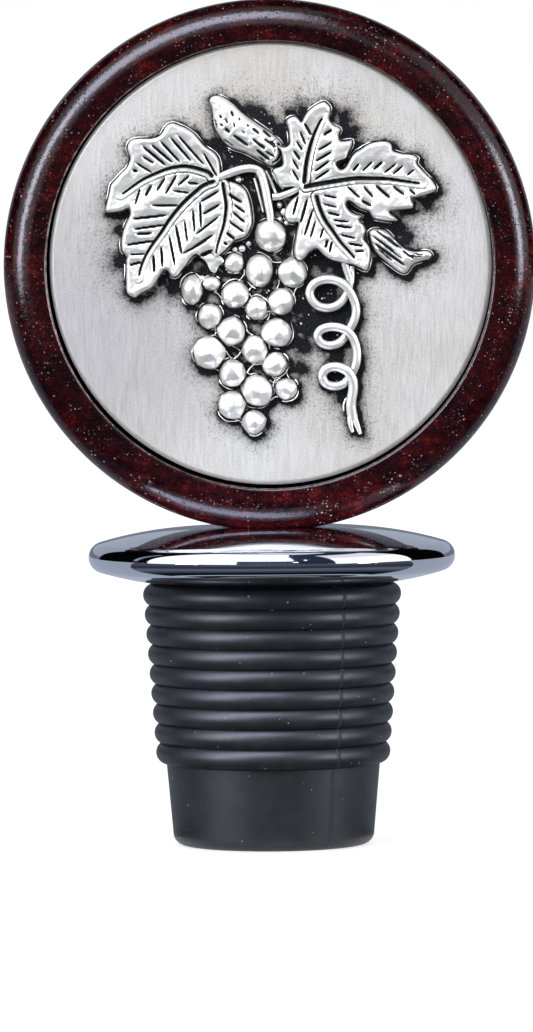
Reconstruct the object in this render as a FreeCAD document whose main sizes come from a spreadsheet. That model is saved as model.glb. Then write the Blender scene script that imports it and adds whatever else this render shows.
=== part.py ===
import FreeCAD, Part
import Sketcher
import math
import os
import re

# A bottle stopper: a turned wood disc stands on edge on a chromed cap, and a ribbed rubber plug
# hangs below the cap. A cast pewter medallion with grapes and vine leaves fills the disc's face.
# Millimetres. The origin is the middle of the plug's flat end, +Z runs up the plug's axis and the
# medallion faces -Y.

doc = FreeCAD.newDocument("bottle_stopper")
Vector = FreeCAD.Vector

# Driving dimensions

driving_sizes = [
    ("sleeve_height", 20.0, "rubber plug, from its flat end to the cap's seat"),
    ("sleeve_top_radius", 9.1, "plug's core under the cap"),
    ("sleeve_end_radius", 7.6, "plug's core at its flat end"),
    ("sleeve_end_round", 0.9, "rounding of the flat end's edge"),
    ("sleeve_floor", 4.0, "rubber left below the cap's stem"),
    ("sleeve_clearance", 0.05, "gap all round the stem"),
    ("rib_count", 9, "sealing ribs"),
    ("rib_pitch", 1.5, "from rib to rib"),
    ("rib_stand", 0.8, "how far a rib's crest stands out of the core"),
    ("rib_tube_radius", 0.88, "roundness of a rib"),
    ("rib_top_land", 0.06, "plain rubber above the first rib"),
    ("cap_radius", 13.95, "chromed cap at its rim"),
    ("cap_nose_radius", 1.16, "rounding of the cap's rim"),
    ("crown_height", 2.28, "cap's top above its rim's middle"),
    ("land_radius", 5.0, "flat land on the crown, where the disc stands"),
    ("seat_depth", 1.95, "cap's rim down to the seat of the plug"),
    ("seat_radius", 9.2, "flat seat under the cap"),
    ("underside_radius", 25.6, "bulge of the cap's underside"),
    ("stem_radius", 3.9, "cap's stem inside the plug"),
    ("stem_end_chamfer", 0.6, "lead-in at the stem's end"),
    ("barb_radius", 4.6, "barbs that hold the plug"),
    ("barb_count", 3, "barbs on the stem"),
    ("barb_pitch", 3.8, "from barb to barb"),
    ("barb_slope", 2.4, "height of a barb's cone"),
    ("barb_land", 0.4, "straight crest of a barb"),
    ("barb_start", 1.4, "first barb above the stem's end"),
    ("stud_radius", 2.0, "threaded stud, at the tops of its threads"),
    ("stud_chamfer", 0.4, "lead-in at both ends of the stud"),
    ("stud_in_cap", 8.0, "stud screwed into the cap"),
    ("stud_in_disc", 10.0, "stud screwed into the disc"),
    ("stud_clearance", 0.05, "gap round the stud"),
    ("drill_spare", 0.6, "hole left past the stud's end"),
    ("drill_angle", 31.0, "slope of the drilled holes' ends, in degrees"),
    ("disc_radius", 20.1, "turned wood disc"),
    ("disc_thickness", 10.0, "disc, front to back"),
    ("disc_edge_round", 1.8, "rounding of the disc's rim"),
    ("disc_seat_flat", 0.25, "depth of the flat that stands on the cap"),
    ("rim_width", 3.2, "wood left round the recess, on the disc's face"),
    ("recess_depth", 2.1, "recess for the medallion"),
    ("recess_chamfer", 0.2, "broken edge of the recess"),
    ("medallion_gap", 0.3, "gap round the medallion in its recess"),
    ("medallion_thickness", 1.6, "plain field of the medallion"),
    ("medallion_edge", 0.2, "bevel round the field"),
    ("medallion_shift_x", 0.08, "how far the medallion is glued off centre, to the right"),
    ("medallion_shift_z", 0.12, "how far the medallion is glued off centre, upwards"),
    ("relief_margin", 4.2, "plain field at each side of the grapes and leaves"),
    ("relief_root", 0.6, "how far the relief's solids reach into the field"),
    ("grape_large", 1.28, "radius of the largest grapes"),
    ("grape_medium", 1.16, "radius of most grapes"),
    ("grape_small", 1.05, "radius of the small grapes"),
    ("grape_tiny", 0.92, "radius of the smallest grapes"),
    ("grape_bud", 0.74, "radius of the grapes that are half hidden"),
    ("leaf_height", 1.0, "leaves above the field at their middle"),
    ("leaf_crown", 32.0, "radius of the leaves' crowned face"),
    ("vein_width", 0.5, "main veins"),
    ("vein_depth", 0.3, "main veins"),
    ("side_vein_width", 0.34, "side veins"),
    ("side_vein_depth", 0.24, "side veins"),
    ("side_vein_gap", 0.25, "from a main vein to its side veins"),
    ("cane_radius", 1.05, "pruned cane above the leaves"),
    ("cane_height", 0.95, "cane above the field"),
    ("spur_radius", 0.85, "cane at the right"),
    ("spur_height", 0.78, "cane at the right, above the field"),
    ("twig_radius", 0.42, "thin twig at the right"),
    ("twig_height", 0.36, "thin twig above the field"),
    ("bark_width", 0.3, "grooves in the bark"),
    ("bark_depth", 0.2, "grooves in the bark"),
    ("stalk_radius", 0.34, "leaf stalks and bunch stalk"),
    ("stalk_sink", 0.03, "middle of a stalk below the field"),
    ("tendril_radius", 0.34, "tendril's wire"),
    ("tendril_sink", 0.04, "middle of the tendril's wire below the field"),
]

sheet = doc.addObject("Spreadsheet::Sheet", "Sizes")
for row, (alias, number, meaning) in enumerate(driving_sizes, start=1):
    sheet.set(f"A{row}", meaning)
    sheet.set(f"B{row}", str(number))
    sheet.setAlias(f"B{row}", alias)
doc.recompute()

alias_pattern = re.compile(r"\b(" + "|".join(alias for alias, number, meaning in driving_sizes) + r")\b")


def from_sheet(words):
    """The expression with each alias written as a cell of the sheet."""
    return alias_pattern.sub(r"Sizes.\1", words)


def size(words):
    """The number that an expression of aliases gives."""
    return float(sheet.evalExpression(from_sheet(words)))


def bind(feature, settings):
    """Tie properties of a feature to expressions of aliases."""
    for name, words in settings.items():
        feature.setExpression(name, from_sheet(words))


# Levels that several pieces share

rim_level = "(sleeve_height + seat_depth)"
land_level = f"({rim_level} + crown_height)"
disc_level = f"({land_level} + disc_radius - disc_seat_flat)"
stem_end_level = "(sleeve_floor + sleeve_clearance)"
stud_hole_radius = "(stud_radius + stud_clearance)"
recess_radius = "(disc_radius - rim_width)"
medallion_radius = f"({recess_radius} - medallion_gap)"
medallion_face = "(disc_thickness / 2 - recess_depth + medallion_thickness)"


def same_length(first, second):
    """True where two lengths agree as well as the modeller works them out."""
    return math.isclose(first, second, rel_tol=1e-4, abs_tol=1e-4)


# Bodies, sketches and turned features

def new_body(name):
    body = doc.addObject("PartDesign::Body", name)
    body.Label = name
    return body


def origin_feature(body, role):
    return next(feature for feature in body.Origin.OriginFeatures if feature.Role == role)


def sketch_on(body, name, role="XZ_Plane"):
    sketch = body.newObject("Sketcher::SketchObject", name)
    sketch.AttachmentSupport = [(origin_feature(body, role), "")]
    sketch.MapMode = "FlatFace"
    return sketch


def pin_point(sketch, edge, end, across, up):
    """Hold one end of an edge at a distance across and up from the sketch's origin."""
    for kind, words in (("DistanceX", across), ("DistanceY", up)):
        if size(words) == 0:
            axis = -2 if kind == "DistanceX" else -1
            sketch.addConstraint(Sketcher.Constraint("PointOnObject", edge, end, axis))
            continue
        index = sketch.addConstraint(Sketcher.Constraint(kind, -1, 1, edge, end, size(words)))
        sketch.setExpression(f"Constraints[{index}]", from_sheet(words))


def add_outline(sketch, corners):
    """A closed outline of straight lines through corners, each an (across, up) pair."""
    places = [Vector(size(across), size(up), 0) for across, up in corners]
    edges = []
    for start, end in zip(places, places[1:] + places[:1]):
        edges.append(sketch.addGeometry(Part.LineSegment(start, end)))
    for edge, following in zip(edges, edges[1:] + edges[:1]):
        sketch.addConstraint(Sketcher.Constraint("Coincident", edge, 2, following, 1))
    for edge, (across, up) in zip(edges, corners):
        pin_point(sketch, edge, 1, across, up)


def add_circle(sketch, radius):
    """A circle about the sketch's origin."""
    edge = sketch.addGeometry(Part.Circle(Vector(0, 0, 0), Vector(0, 0, 1), size(radius)))
    sketch.addConstraint(Sketcher.Constraint("Coincident", edge, 3, -1, 1))
    index = sketch.addConstraint(Sketcher.Constraint("Radius", edge, size(radius)))
    sketch.setExpression(f"Constraints[{index}]", from_sheet(radius))


def turn(body, name, sketch, kind="PartDesign::Revolution"):
    """Turn a sketch's outline about the piece's upright axis."""
    feature = body.newObject(kind, name)
    feature.Profile = sketch
    feature.ReferenceAxis = (sketch, ["V_Axis"])
    feature.Angle = 360
    return feature


def repeat_upwards(body, name, feature, count, pitch):
    """A row of copies of a feature, one pitch apart, up the piece's axis."""
    pattern = body.newObject("PartDesign::LinearPattern", name)
    pattern.Originals = [feature]
    pattern.Direction = (origin_feature(body, "Z_Axis"), [""])
    pattern.Length = size(f"({count} - 1) * {pitch}")
    pattern.Occurrences = int(size(count))
    bind(pattern, {"Length": f"({count} - 1) * {pitch}", "Occurrences": count})
    body.Tip = pattern
    return pattern


def drilled_hole(body, name, mouth, end, towards):
    """A stud's hole on the axis, with the cone that the drill leaves past its end."""
    tip = f"{end} + {towards} * {stud_hole_radius} * tan(drill_angle * 1deg)"
    sketch = sketch_on(body, name + "_sketch")
    add_outline(sketch, [("0", mouth), (stud_hole_radius, mouth), (stud_hole_radius, end), ("0", tip)])
    return turn(body, name, sketch, "PartDesign::Groove")


def barb_outline(grow):
    """One barb of the stem, or the groove in the rubber that is larger by grow."""
    bottom = f"({stem_end_level} + barb_start)"
    shoulder = f"({bottom} + barb_slope)"
    crest = f"({shoulder} + barb_land + {grow})"
    inside = "stem_radius * 0.8"
    return [
        (inside, bottom),
        (f"stem_radius + {grow}", bottom),
        (f"barb_radius + {grow}", shoulder),
        (f"barb_radius + {grow}", crest),
        (inside, crest),
    ]


# Rubber plug

def make_rubber_sleeve():
    body = new_body("rubber_sleeve")
    core_sketch = sketch_on(body, "plug_core_sketch")
    add_outline(core_sketch, [
        ("0", "0"),
        ("sleeve_end_radius", "0"),
        ("sleeve_top_radius", "sleeve_height"),
        ("0", "sleeve_height"),
    ])
    core = turn(body, "plug_core", core_sketch)
    doc.recompute()
    low_edges = [
        f"Edge{number}" for number, edge in enumerate(core.Shape.Edges, start=1)
        if len(edge.Vertexes) == 1 and same_length(edge.BoundBox.ZMax, 0)
    ]
    rounding = body.newObject("PartDesign::Fillet", "plug_end_round")
    rounding.Base = (core, low_edges)
    rounding.Radius = size("sleeve_end_round")
    bind(rounding, {"Radius": "sleeve_end_round"})
    doc.recompute()
    for rib in range(int(size("rib_count"))):
        level = f"(sleeve_height - rib_top_land - rib_tube_radius - {rib} * rib_pitch)"
        taper = f"(sleeve_top_radius - sleeve_end_radius) * {level} / sleeve_height"
        core_radius = f"(sleeve_end_radius + {taper})"
        ring = body.newObject("PartDesign::AdditiveTorus", f"plug_rib_{rib + 1}")
        ring.Radius2 = size("rib_tube_radius")
        ring.Radius1 = size(f"{core_radius} + rib_stand - rib_tube_radius")
        bind(ring, {
            "Radius1": f"{core_radius} + rib_stand - rib_tube_radius",
            "Radius2": "rib_tube_radius",
            "Placement.Base.z": level,
        })
    bore_sketch = sketch_on(body, "plug_bore_sketch")
    bore_radius = "stem_radius + sleeve_clearance"
    add_outline(bore_sketch, [
        ("0", "sleeve_floor"),
        (f"{bore_radius} - stem_end_chamfer", "sleeve_floor"),
        (bore_radius, "sleeve_floor + stem_end_chamfer"),
        (bore_radius, "sleeve_height"),
        ("0", "sleeve_height"),
    ])
    turn(body, "plug_bore", bore_sketch, "PartDesign::Groove")
    groove_sketch = sketch_on(body, "plug_groove_sketch")
    add_outline(groove_sketch, barb_outline("sleeve_clearance"))
    groove = turn(body, "plug_groove", groove_sketch, "PartDesign::Groove")
    repeat_upwards(body, "plug_grooves", groove, "barb_count", "barb_pitch")
    return body


# Chromed cap with its barbed stem

def meeting_of_circles(first, first_radius, second, second_radius):
    """The upper of the two points that lie at given distances from two centres."""
    apart = second.sub(first)
    along = (first_radius ** 2 - second_radius ** 2 + apart.Length ** 2) / (2 * apart.Length)
    aside = math.sqrt(first_radius ** 2 - along ** 2)
    unit = Vector(apart).normalize()
    across = Vector(-unit.y, unit.x, 0)
    ends = [first + unit * along + across * aside, first + unit * along - across * aside]
    return max(ends, key=lambda point: point.y)


def arc_between(centre, start, end):
    """The arc about a centre that runs anticlockwise from start to end."""
    start_angle = math.atan2(start.y - centre.y, start.x - centre.x)
    end_angle = math.atan2(end.y - centre.y, end.x - centre.x)
    circle = Part.Circle(centre, Vector(0, 0, 1), (start - centre).Length)
    return Part.ArcOfCircle(circle, start_angle, end_angle)


def add_cap_outline(sketch):
    """Half the cap's section: land, crown arc, rim arc, underside arc, seat and stem."""
    nose = Vector(size("cap_radius - cap_nose_radius"), size(rim_level), 0)
    nose_radius = size("cap_nose_radius")
    land_edge = Vector(size("land_radius"), size(land_level), 0)
    seat_edge = Vector(size("seat_radius"), size("sleeve_height"), 0)
    reach = nose.x - land_edge.x
    rise = size("crown_height")
    crown_radius = (reach ** 2 + rise ** 2 - nose_radius ** 2) / (2 * (rise - nose_radius))
    crown_centre = Vector(land_edge.x, land_edge.y - crown_radius, 0)
    under_radius = size("underside_radius")
    under_centre = meeting_of_circles(nose, under_radius - nose_radius, seat_edge, under_radius)
    crown_end = nose + (nose - crown_centre).normalize() * nose_radius
    under_end = nose + (nose - under_centre).normalize() * nose_radius
    crown = sketch.addGeometry(arc_between(crown_centre, crown_end, land_edge))
    rim = sketch.addGeometry(arc_between(nose, under_end, crown_end))
    under = sketch.addGeometry(arc_between(under_centre, seat_edge, under_end))
    corners = [
        ("seat_radius", "sleeve_height"),
        ("stem_radius", "sleeve_height"),
        ("stem_radius", f"{stem_end_level} + stem_end_chamfer"),
        ("stem_radius - stem_end_chamfer", stem_end_level),
        ("0", stem_end_level),
        ("0", land_level),
        ("land_radius", land_level),
    ]
    places = [Vector(size(across), size(up), 0) for across, up in corners]
    lines = [sketch.addGeometry(Part.LineSegment(start, end)) for start, end in zip(places, places[1:])]
    for line, following in zip(lines, lines[1:]):
        sketch.addConstraint(Sketcher.Constraint("Coincident", line, 2, following, 1))
    for line, (across, up) in zip(lines, corners):
        pin_point(sketch, line, 1, across, up)
    pin_point(sketch, lines[-1], 2, *corners[-1])
    sketch.addConstraint(Sketcher.Constraint("Coincident", lines[-1], 2, crown, 2))
    sketch.addConstraint(Sketcher.Constraint("Coincident", lines[0], 1, under, 1))
    sketch.addConstraint(Sketcher.Constraint("Tangent", crown, 1, rim, 2))
    sketch.addConstraint(Sketcher.Constraint("Tangent", rim, 1, under, 2))
    pin_point(sketch, rim, 3, "cap_radius - cap_nose_radius", rim_level)
    for arc, radius in ((rim, "cap_nose_radius"), (under, "underside_radius")):
        index = sketch.addConstraint(Sketcher.Constraint("Radius", arc, size(radius)))
        sketch.setExpression(f"Constraints[{index}]", from_sheet(radius))
    index = sketch.addConstraint(Sketcher.Constraint("DistanceX", -1, 1, crown, 3, size("land_radius")))
    sketch.setExpression(f"Constraints[{index}]", from_sheet("land_radius"))


def make_stopper_cap():
    body = new_body("stopper_cap")
    outline = sketch_on(body, "cap_sketch")
    add_cap_outline(outline)
    turn(body, "cap_turned", outline)
    barb_sketch = sketch_on(body, "barb_sketch")
    add_outline(barb_sketch, barb_outline("0"))
    barb = turn(body, "barb", barb_sketch)
    repeat_upwards(body, "barbs", barb, "barb_count", "barb_pitch")
    end = f"({land_level} - stud_in_cap)"
    drilled_hole(body, "cap_stud_hole", land_level, end, "(-1)")
    return body


# Stud between the cap and the disc

def make_threaded_stud():
    body = new_body("threaded_stud")
    sketch = sketch_on(body, "stud_sketch", "XY_Plane")
    add_circle(sketch, "stud_radius")
    rod = body.newObject("PartDesign::Pad", "stud_rod")
    rod.Profile = sketch
    rod.Length = size("stud_in_cap + stud_in_disc")
    bind(rod, {"Length": "stud_in_cap + stud_in_disc"})
    doc.recompute()
    ends = [
        f"Edge{number}" for number, edge in enumerate(rod.Shape.Edges, start=1)
        if len(edge.Vertexes) == 1
    ]
    lead_in = body.newObject("PartDesign::Chamfer", "stud_lead_in")
    lead_in.Base = (rod, ends)
    lead_in.Size = size("stud_chamfer")
    bind(lead_in, {"Size": "stud_chamfer"})
    bind(body, {"Placement.Base.z": f"{land_level} - stud_in_cap"})
    return body


# Turned wood disc

def make_wood_disc():
    body = new_body("wood_disc")
    sketch = sketch_on(body, "disc_sketch")
    add_circle(sketch, "disc_radius")
    blank = body.newObject("PartDesign::Pad", "disc_blank")
    blank.Profile = sketch
    blank.Length = size("disc_thickness")
    blank.Midplane = True
    bind(blank, {"Length": "disc_thickness"})
    doc.recompute()
    rims = [
        f"Edge{number}" for number, edge in enumerate(blank.Shape.Edges, start=1)
        if len(edge.Vertexes) == 1
    ]
    rounding = body.newObject("PartDesign::Fillet", "disc_rounding")
    rounding.Base = (blank, rims)
    rounding.Radius = size("disc_edge_round")
    bind(rounding, {"Radius": "disc_edge_round"})
    doc.recompute()
    flat_sketch = sketch_on(body, "disc_flat_sketch")
    low, high = "-disc_radius - disc_seat_flat", "-disc_radius + disc_seat_flat"
    add_outline(flat_sketch, [
        ("-disc_radius", low),
        ("disc_radius", low),
        ("disc_radius", high),
        ("-disc_radius", high),
    ])
    flat = body.newObject("PartDesign::Pocket", "disc_flat")
    flat.Profile = flat_sketch
    flat.Type = "ThroughAll"
    flat.Midplane = True
    recess_sketch = sketch_on(body, "disc_recess_sketch")
    recess_sketch.AttachmentOffset.Base.z = size("disc_thickness / 2")
    bind(recess_sketch, {"AttachmentOffset.Base.z": "disc_thickness / 2"})
    add_circle(recess_sketch, recess_radius)
    recess = body.newObject("PartDesign::Pocket", "disc_recess")
    recess.Profile = recess_sketch
    recess.Length = size("recess_depth")
    bind(recess, {"Length": "recess_depth"})
    doc.recompute()
    mouth = [
        f"Edge{number}" for number, edge in enumerate(recess.Shape.Edges, start=1)
        if len(edge.Vertexes) == 1 and same_length(edge.BoundBox.YMax, size("-disc_thickness / 2"))
        and same_length(edge.BoundBox.XLength / 2, size(recess_radius))
    ]
    broken_edge = body.newObject("PartDesign::Chamfer", "disc_recess_chamfer")
    broken_edge.Base = (recess, mouth)
    broken_edge.Size = size("recess_chamfer")
    bind(broken_edge, {"Size": "recess_chamfer"})
    doc.recompute()
    seat = "(-disc_radius + disc_seat_flat)"
    drilled_hole(body, "disc_stud_hole", seat, f"({seat} + stud_in_disc + drill_spare)", "1")
    bind(body, {"Placement.Base.z": disc_level})
    return body


# Medallion. Its relief is drawn looking at its face, in millimetres from its middle, as
# (across, up) pairs. Nothing in it overhangs, so that it leaves its mould.

grapes = [
    (0.0, 2.1, "grape_large"), (-0.9, -0.5, "grape_medium"), (1.6, -0.7, "grape_medium"),
    (-2.7, 0.1, "grape_bud"), (-4.5, -1.5, "grape_bud"), (-5.9, -2.0, "grape_small"),
    (-2.7, -2.3, "grape_small"), (-1.1, -3.3, "grape_tiny"), (0.8, -2.9, "grape_small"),
    (-4.6, -3.9, "grape_small"), (-3.0, -5.1, "grape_medium"), (0.4, -5.2, "grape_medium"),
    (-4.6, -6.7, "grape_large"), (-1.2, -6.4, "grape_small"), (0.3, -7.6, "grape_small"),
    (-2.9, -8.2, "grape_medium"), (-1.0, -9.6, "grape_large"), (1.2, -9.4, "grape_tiny"),
    (-2.9, -10.6, "grape_medium"), (-1.3, -11.9, "grape_small"),
]

left_leaf = [
    (-3.8, 6.3), (-3.9, 7.6), (-5.0, 8.8), (-5.7, 9.7), (-6.8, 10.4), (-7.8, 10.4), (-8.4, 9.6),
    (-10.1, 9.4), (-10.7, 8.8), (-10.6, 7.9), (-12.0, 5.9), (-12.4, 4.0), (-10.7, 4.2), (-11.2, 1.9),
    (-10.8, 0.5), (-10.9, -1.5), (-10.2, -2.6), (-8.8, -1.6), (-8.1, -0.5), (-7.8, -0.5), (-7.4, -1.0),
    (-6.4, -0.1), (-5.7, 0.7), (-4.6, 0.9), (-4.2, 0.5), (-2.0, 2.0), (-1.4, 3.2), (-1.6, 4.9),
    (-2.4, 5.9),
]

right_leaf = [
    (2.1, 5.2), (0.8, 5.7), (0.2, 7.0), (0.9, 7.4), (0.4, 8.9), (1.4, 9.0), (1.2, 10.7), (1.9, 11.0),
    (2.3, 10.6), (3.0, 11.6), (4.0, 12.1), (4.5, 11.4), (4.4, 10.9), (5.3, 10.1), (5.3, 9.2),
    (6.1, 9.3), (5.7, 7.9), (4.9, 7.6), (5.6, 7.2), (6.2, 8.2), (7.4, 9.0), (8.8, 9.1), (9.2, 8.5),
    (10.6, 8.2), (11.0, 7.5), (12.4, 5.7), (12.3, 5.4), (10.6, 4.9), (10.6, 4.2), (8.9, 3.8),
    (9.6, 3.3), (7.7, 3.4), (6.2, 4.6), (5.7, 4.4), (6.9, 3.6), (7.0, 1.9), (7.5, 1.0), (7.2, -0.5),
    (4.6, 0.3), (3.5, 1.2), (2.6, 0.4), (1.7, 0.8), (2.1, 3.1), (1.3, 3.2), (1.0, 3.7),
]

# Each main vein has its points from the stalk to the tip, and for each side the first and last
# side vein's place along it and direction in degrees, with the side veins' lengths.
left_veins = [
    ([(-4.4, 6.6), (-5.5, 7.2), (-7.1, 7.3), (-8.9, 6.7), (-11.3, 5.2)],
     [(0.9, 6.2, 132, 158, (2.8, 2.4, 2.2, 2.1, 2.2, 1.4, 1.2, 0.6)),
      (2.0, 6.3, 220, 250, (1.1, 1.5, 1.3, 1.1, 1.0))]),
    ([(-4.3, 6.2), (-5.7, 5.4), (-7.1, 4.0), (-8.9, 1.4), (-10.0, -1.1)],
     [(1.2, 8.3, 172, 190, (0.7, 1.1, 1.8, 2.4, 2.2, 1.3, 1.7, 1.0, 0.7)),
      (1.9, 7.6, 276, 268, (1.7, 1.8, 1.7, 2.0, 2.1, 1.6, 1.2))]),
    ([(-3.6, 6.0), (-3.4, 4.2), (-3.8, 2.2), (-4.1, 0.6)],
     [(0.5, 4.7, 213, 205, (1.5, 1.5, 1.9, 1.8, 1.8, 0.9)),
      (0.8, 4.4, 330, 312, (1.2, 1.2, 1.3, 1.3, 0.8, 0.4))]),
]

right_veins = [
    ([(2.5, 6.1), (2.6, 7.4), (3.2, 9.6), (3.9, 11.0)],
     [(0.2, 4.0, 118, 112, (1.0, 0.9, 0.9, 0.8, 0.9, 0.9)),
      (0.3, 3.8, 32, 42, (1.2, 1.3, 1.4, 1.2, 0.8))]),
    ([(2.6, 5.8), (5.4, 6.3), (7.5, 6.4), (11.4, 6.0)],
     [(3.6, 7.7, 52, 40, (0.7, 1.1, 1.0, 1.1, 0.9, 0.7)),
      (3.1, 7.9, 318, 320, (1.3, 1.1, 1.4, 1.0, 0.6))]),
    ([(3.5, 5.0), (4.1, 3.3), (5.3, 1.6), (6.4, 0.3)],
     [(0.2, 5.3, 343, 358, (0.9, 0.9, 0.9, 1.1, 1.3, 1.1, 1.1, 0.6)),
      (0.4, 4.2, 253, 256, (1.8, 1.8, 1.3, 0.9, 0.8, 0.6))]),
]

# The drawing is fitted to the width that the relief has on the medallion
drawn_width = max(across for across, up in right_leaf) - min(across for across, up in left_leaf)
relief_scale = f"(2 * ({medallion_radius} - relief_margin) / {drawn_width})"

cane_ends = ((-3.7, 11.2), (0.7, 8.4))
spur_ends = ((7.8, 1.9), (10.0, 0.1))
twig_ends = ((9.2, 1.3), (11.8, 0.6))
leaf_stalk = [(-3.9, 6.5), (-2.7, 6.9), (-1.3, 7.1), (-0.6, 6.9)]
bunch_stalk = [(-0.8, 6.9), (-0.4, 5.4), (-0.1, 3.9), (0.0, 3.0)]
right_stalk = [(-0.3, 4.8), (1.0, 5.2), (2.6, 5.8)]

# Tendril: three loops, each (across, up, radius), and the bows between them, each through three points
tendril_loops = [(4.1, -2.25, 1.12), (4.35, -5.45, 0.8), (4.65, -8.5, 0.8)]
tendril_bows = [
    ((5.9, 0.2), (6.0, -1.5), (6.4, -2.9)),
    ((5.1, -1.75), (6.35, -3.2), (5.9, -4.7)),
    ((4.9, -4.85), (6.6, -6.7), (5.9, -8.5)),
    ((5.2, -7.9), (6.1, -9.5), (5.85, -12.3)),
]


def drawn(point):
    """A drawn point at the relief's real size."""
    scale = size(relief_scale)
    return (point[0] * scale, point[1] * scale)


def raised(point, height):
    """The place at a height above the field, in the medallion's own frame."""
    return Vector(point[0], -height, point[1])


def groove_tool(start, end, width, depth, surface):
    """A boat-shaped solid that cuts a groove with two pointed ends into a face."""
    line = Vector(end[0] - start[0], 0, end[1] - start[1])
    along = Vector(line).normalize()
    across = Vector(-along.z, 0, along.x)
    taper = min(width, line.Length * 0.3)
    lift = depth * 0.7
    widening = (depth + lift) / depth

    def at(distance, aside, above):
        share = distance / line.Length
        level = surface(start) + (surface(end) - surface(start)) * share
        place = Vector(start[0], 0, start[1]) + along * distance + across * aside
        return Vector(place.x, -(level + above), place.z)

    first, last = taper, line.Length - taper
    half = width / 2 * widening
    reach = taper * (widening - 1)
    keel = [at(first, 0, -depth), at(last, 0, -depth)]
    left = [at(first, half, lift), at(last, half, lift)]
    right = [at(first, -half, lift), at(last, -half, lift)]
    tips = [at(-reach, 0, lift), at(line.Length + reach, 0, lift)]
    outlines = [
        [keel[0], keel[1], left[1], left[0]],
        [keel[1], keel[0], right[0], right[1]],
        [tips[0], keel[0], left[0]],
        [tips[0], right[0], keel[0]],
        [tips[1], left[1], keel[1]],
        [tips[1], keel[1], right[1]],
        [tips[0], left[0], left[1], tips[1], right[1], right[0]],
    ]
    faces = [Part.Face(Part.makePolygon(outline + outline[:1])) for outline in outlines]
    tool = Part.Solid(Part.Shell(faces))
    if tool.Volume < 0:
        tool.reverse()
    return tool


def place_along(points, distance):
    """The point at a distance along a line through points."""
    for start, end in zip(points, points[1:]):
        length = math.dist(start, end)
        if distance <= length or end == points[-1]:
            share = distance / length
            return (start[0] + (end[0] - start[0]) * share, start[1] + (end[1] - start[1]) * share)
        distance -= length


def vein_tools(veins, surface):
    """The grooves of a leaf's main and side veins."""
    tools = []
    for points, sides in veins:
        main = [drawn(point) for point in points]
        for start, end in zip(main, main[1:]):
            overlap = size("vein_width") / math.dist(start, end)
            before = overlap if start != main[0] else 0
            after = overlap if end != main[-1] else 0
            span = (end[0] - start[0], end[1] - start[1])
            longer_start = (start[0] - span[0] * before, start[1] - span[1] * before)
            longer_end = (end[0] + span[0] * after, end[1] + span[1] * after)
            tools.append(groove_tool(
                longer_start, longer_end, size("vein_width"), size("vein_depth"), surface))
        for first_at, last_at, first_angle, last_angle, lengths in sides:
            for number, length in enumerate(lengths):
                share = number / (len(lengths) - 1)
                place = drawn(place_along(points, first_at + (last_at - first_at) * share))
                angle = math.radians(first_angle + (last_angle - first_angle) * share)
                heading = (math.cos(angle), math.sin(angle))
                gap = size("side_vein_gap")
                ends = [
                    (place[0] + heading[0] * out, place[1] + heading[1] * out)
                    for out in (gap, gap + length * size(relief_scale))
                ]
                tools.append(groove_tool(
                    *ends, size("side_vein_width"), size("side_vein_depth"), surface))
    return tools


def leaf_shape(outline, veins):
    """A leaf: its outline as a plate with a crowned face, and its veins cut in."""
    points = [drawn(point) for point in outline]
    middle = (
        (min(x for x, z in points) + max(x for x, z in points)) / 2,
        (min(z for x, z in points) + max(z for x, z in points)) / 2,
    )
    height, crown = size("leaf_height"), size("leaf_crown")

    def surface(point):
        aside = math.dist(point, middle)
        return height - crown + math.sqrt(crown ** 2 - aside ** 2)

    root = size("relief_root")
    edge = [raised(point, -root) for point in points]
    plate = Part.Face(Part.makePolygon(edge + edge[:1])).extrude(Vector(0, -(root + height), 0))
    ball = Part.makeSphere(crown, raised(middle, height - crown))
    return plate.common(ball).cut(vein_tools(veins, surface))


def cane_shape(ends, radius, height, bark_offsets):
    """A cut length of cane lying in the field, with grooves in its bark."""
    start, end = (drawn(point) for point in ends)
    line = Vector(end[0] - start[0], 0, end[1] - start[1])
    rod = Part.makeCylinder(radius, line.Length, raised(start, height - radius), line)
    knob = Part.makeSphere(radius, raised(start, height - radius))
    tools = []
    along = Vector(line).normalize()
    for aside, first, last in bark_offsets:
        level = height - radius + math.sqrt(radius ** 2 - (aside * radius) ** 2)
        bark = [
            (start[0] + line.x * share - along.z * aside * radius,
             start[1] + line.z * share + along.x * aside * radius)
            for share in (first, last)
        ]
        tools.append(groove_tool(
            *bark, size("bark_width"), size("bark_depth"), lambda point, level=level: level))
    return rod.fuse(knob).cut(tools)


def stalk_shape(points, radius, sink):
    """A round stalk through points, with a ball at each bend."""
    places = [raised(drawn(point), -sink) for point in points]
    pieces = [Part.makeSphere(radius, place) for place in places]
    for start, end in zip(places, places[1:]):
        pieces.append(Part.makeCylinder(radius, (end - start).Length, start, end - start))
    return pieces[0].fuse(pieces[1:])


def bow_shape(through, radius, sink):
    """A bow of the tendril's wire through three points, rounded at both ends."""
    places = [raised(drawn(point), -sink) for point in through]
    path = Part.Wire(Part.Arc(*places).toShape())
    tangent = path.Edges[0].tangentAt(path.Edges[0].FirstParameter)
    section = Part.Wire(Part.Circle(places[0], tangent, radius).toShape())
    tube = path.makePipeShell([section], True, False)
    ends = [Part.makeSphere(radius, place) for place in (places[0], places[-1])]
    return tube.fuse(ends)


def add_shape(name, shape):
    """A piece of the relief that has its shape from the functions above."""
    feature = doc.addObject("Part::Feature", name)
    feature.Shape = shape
    return feature


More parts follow.
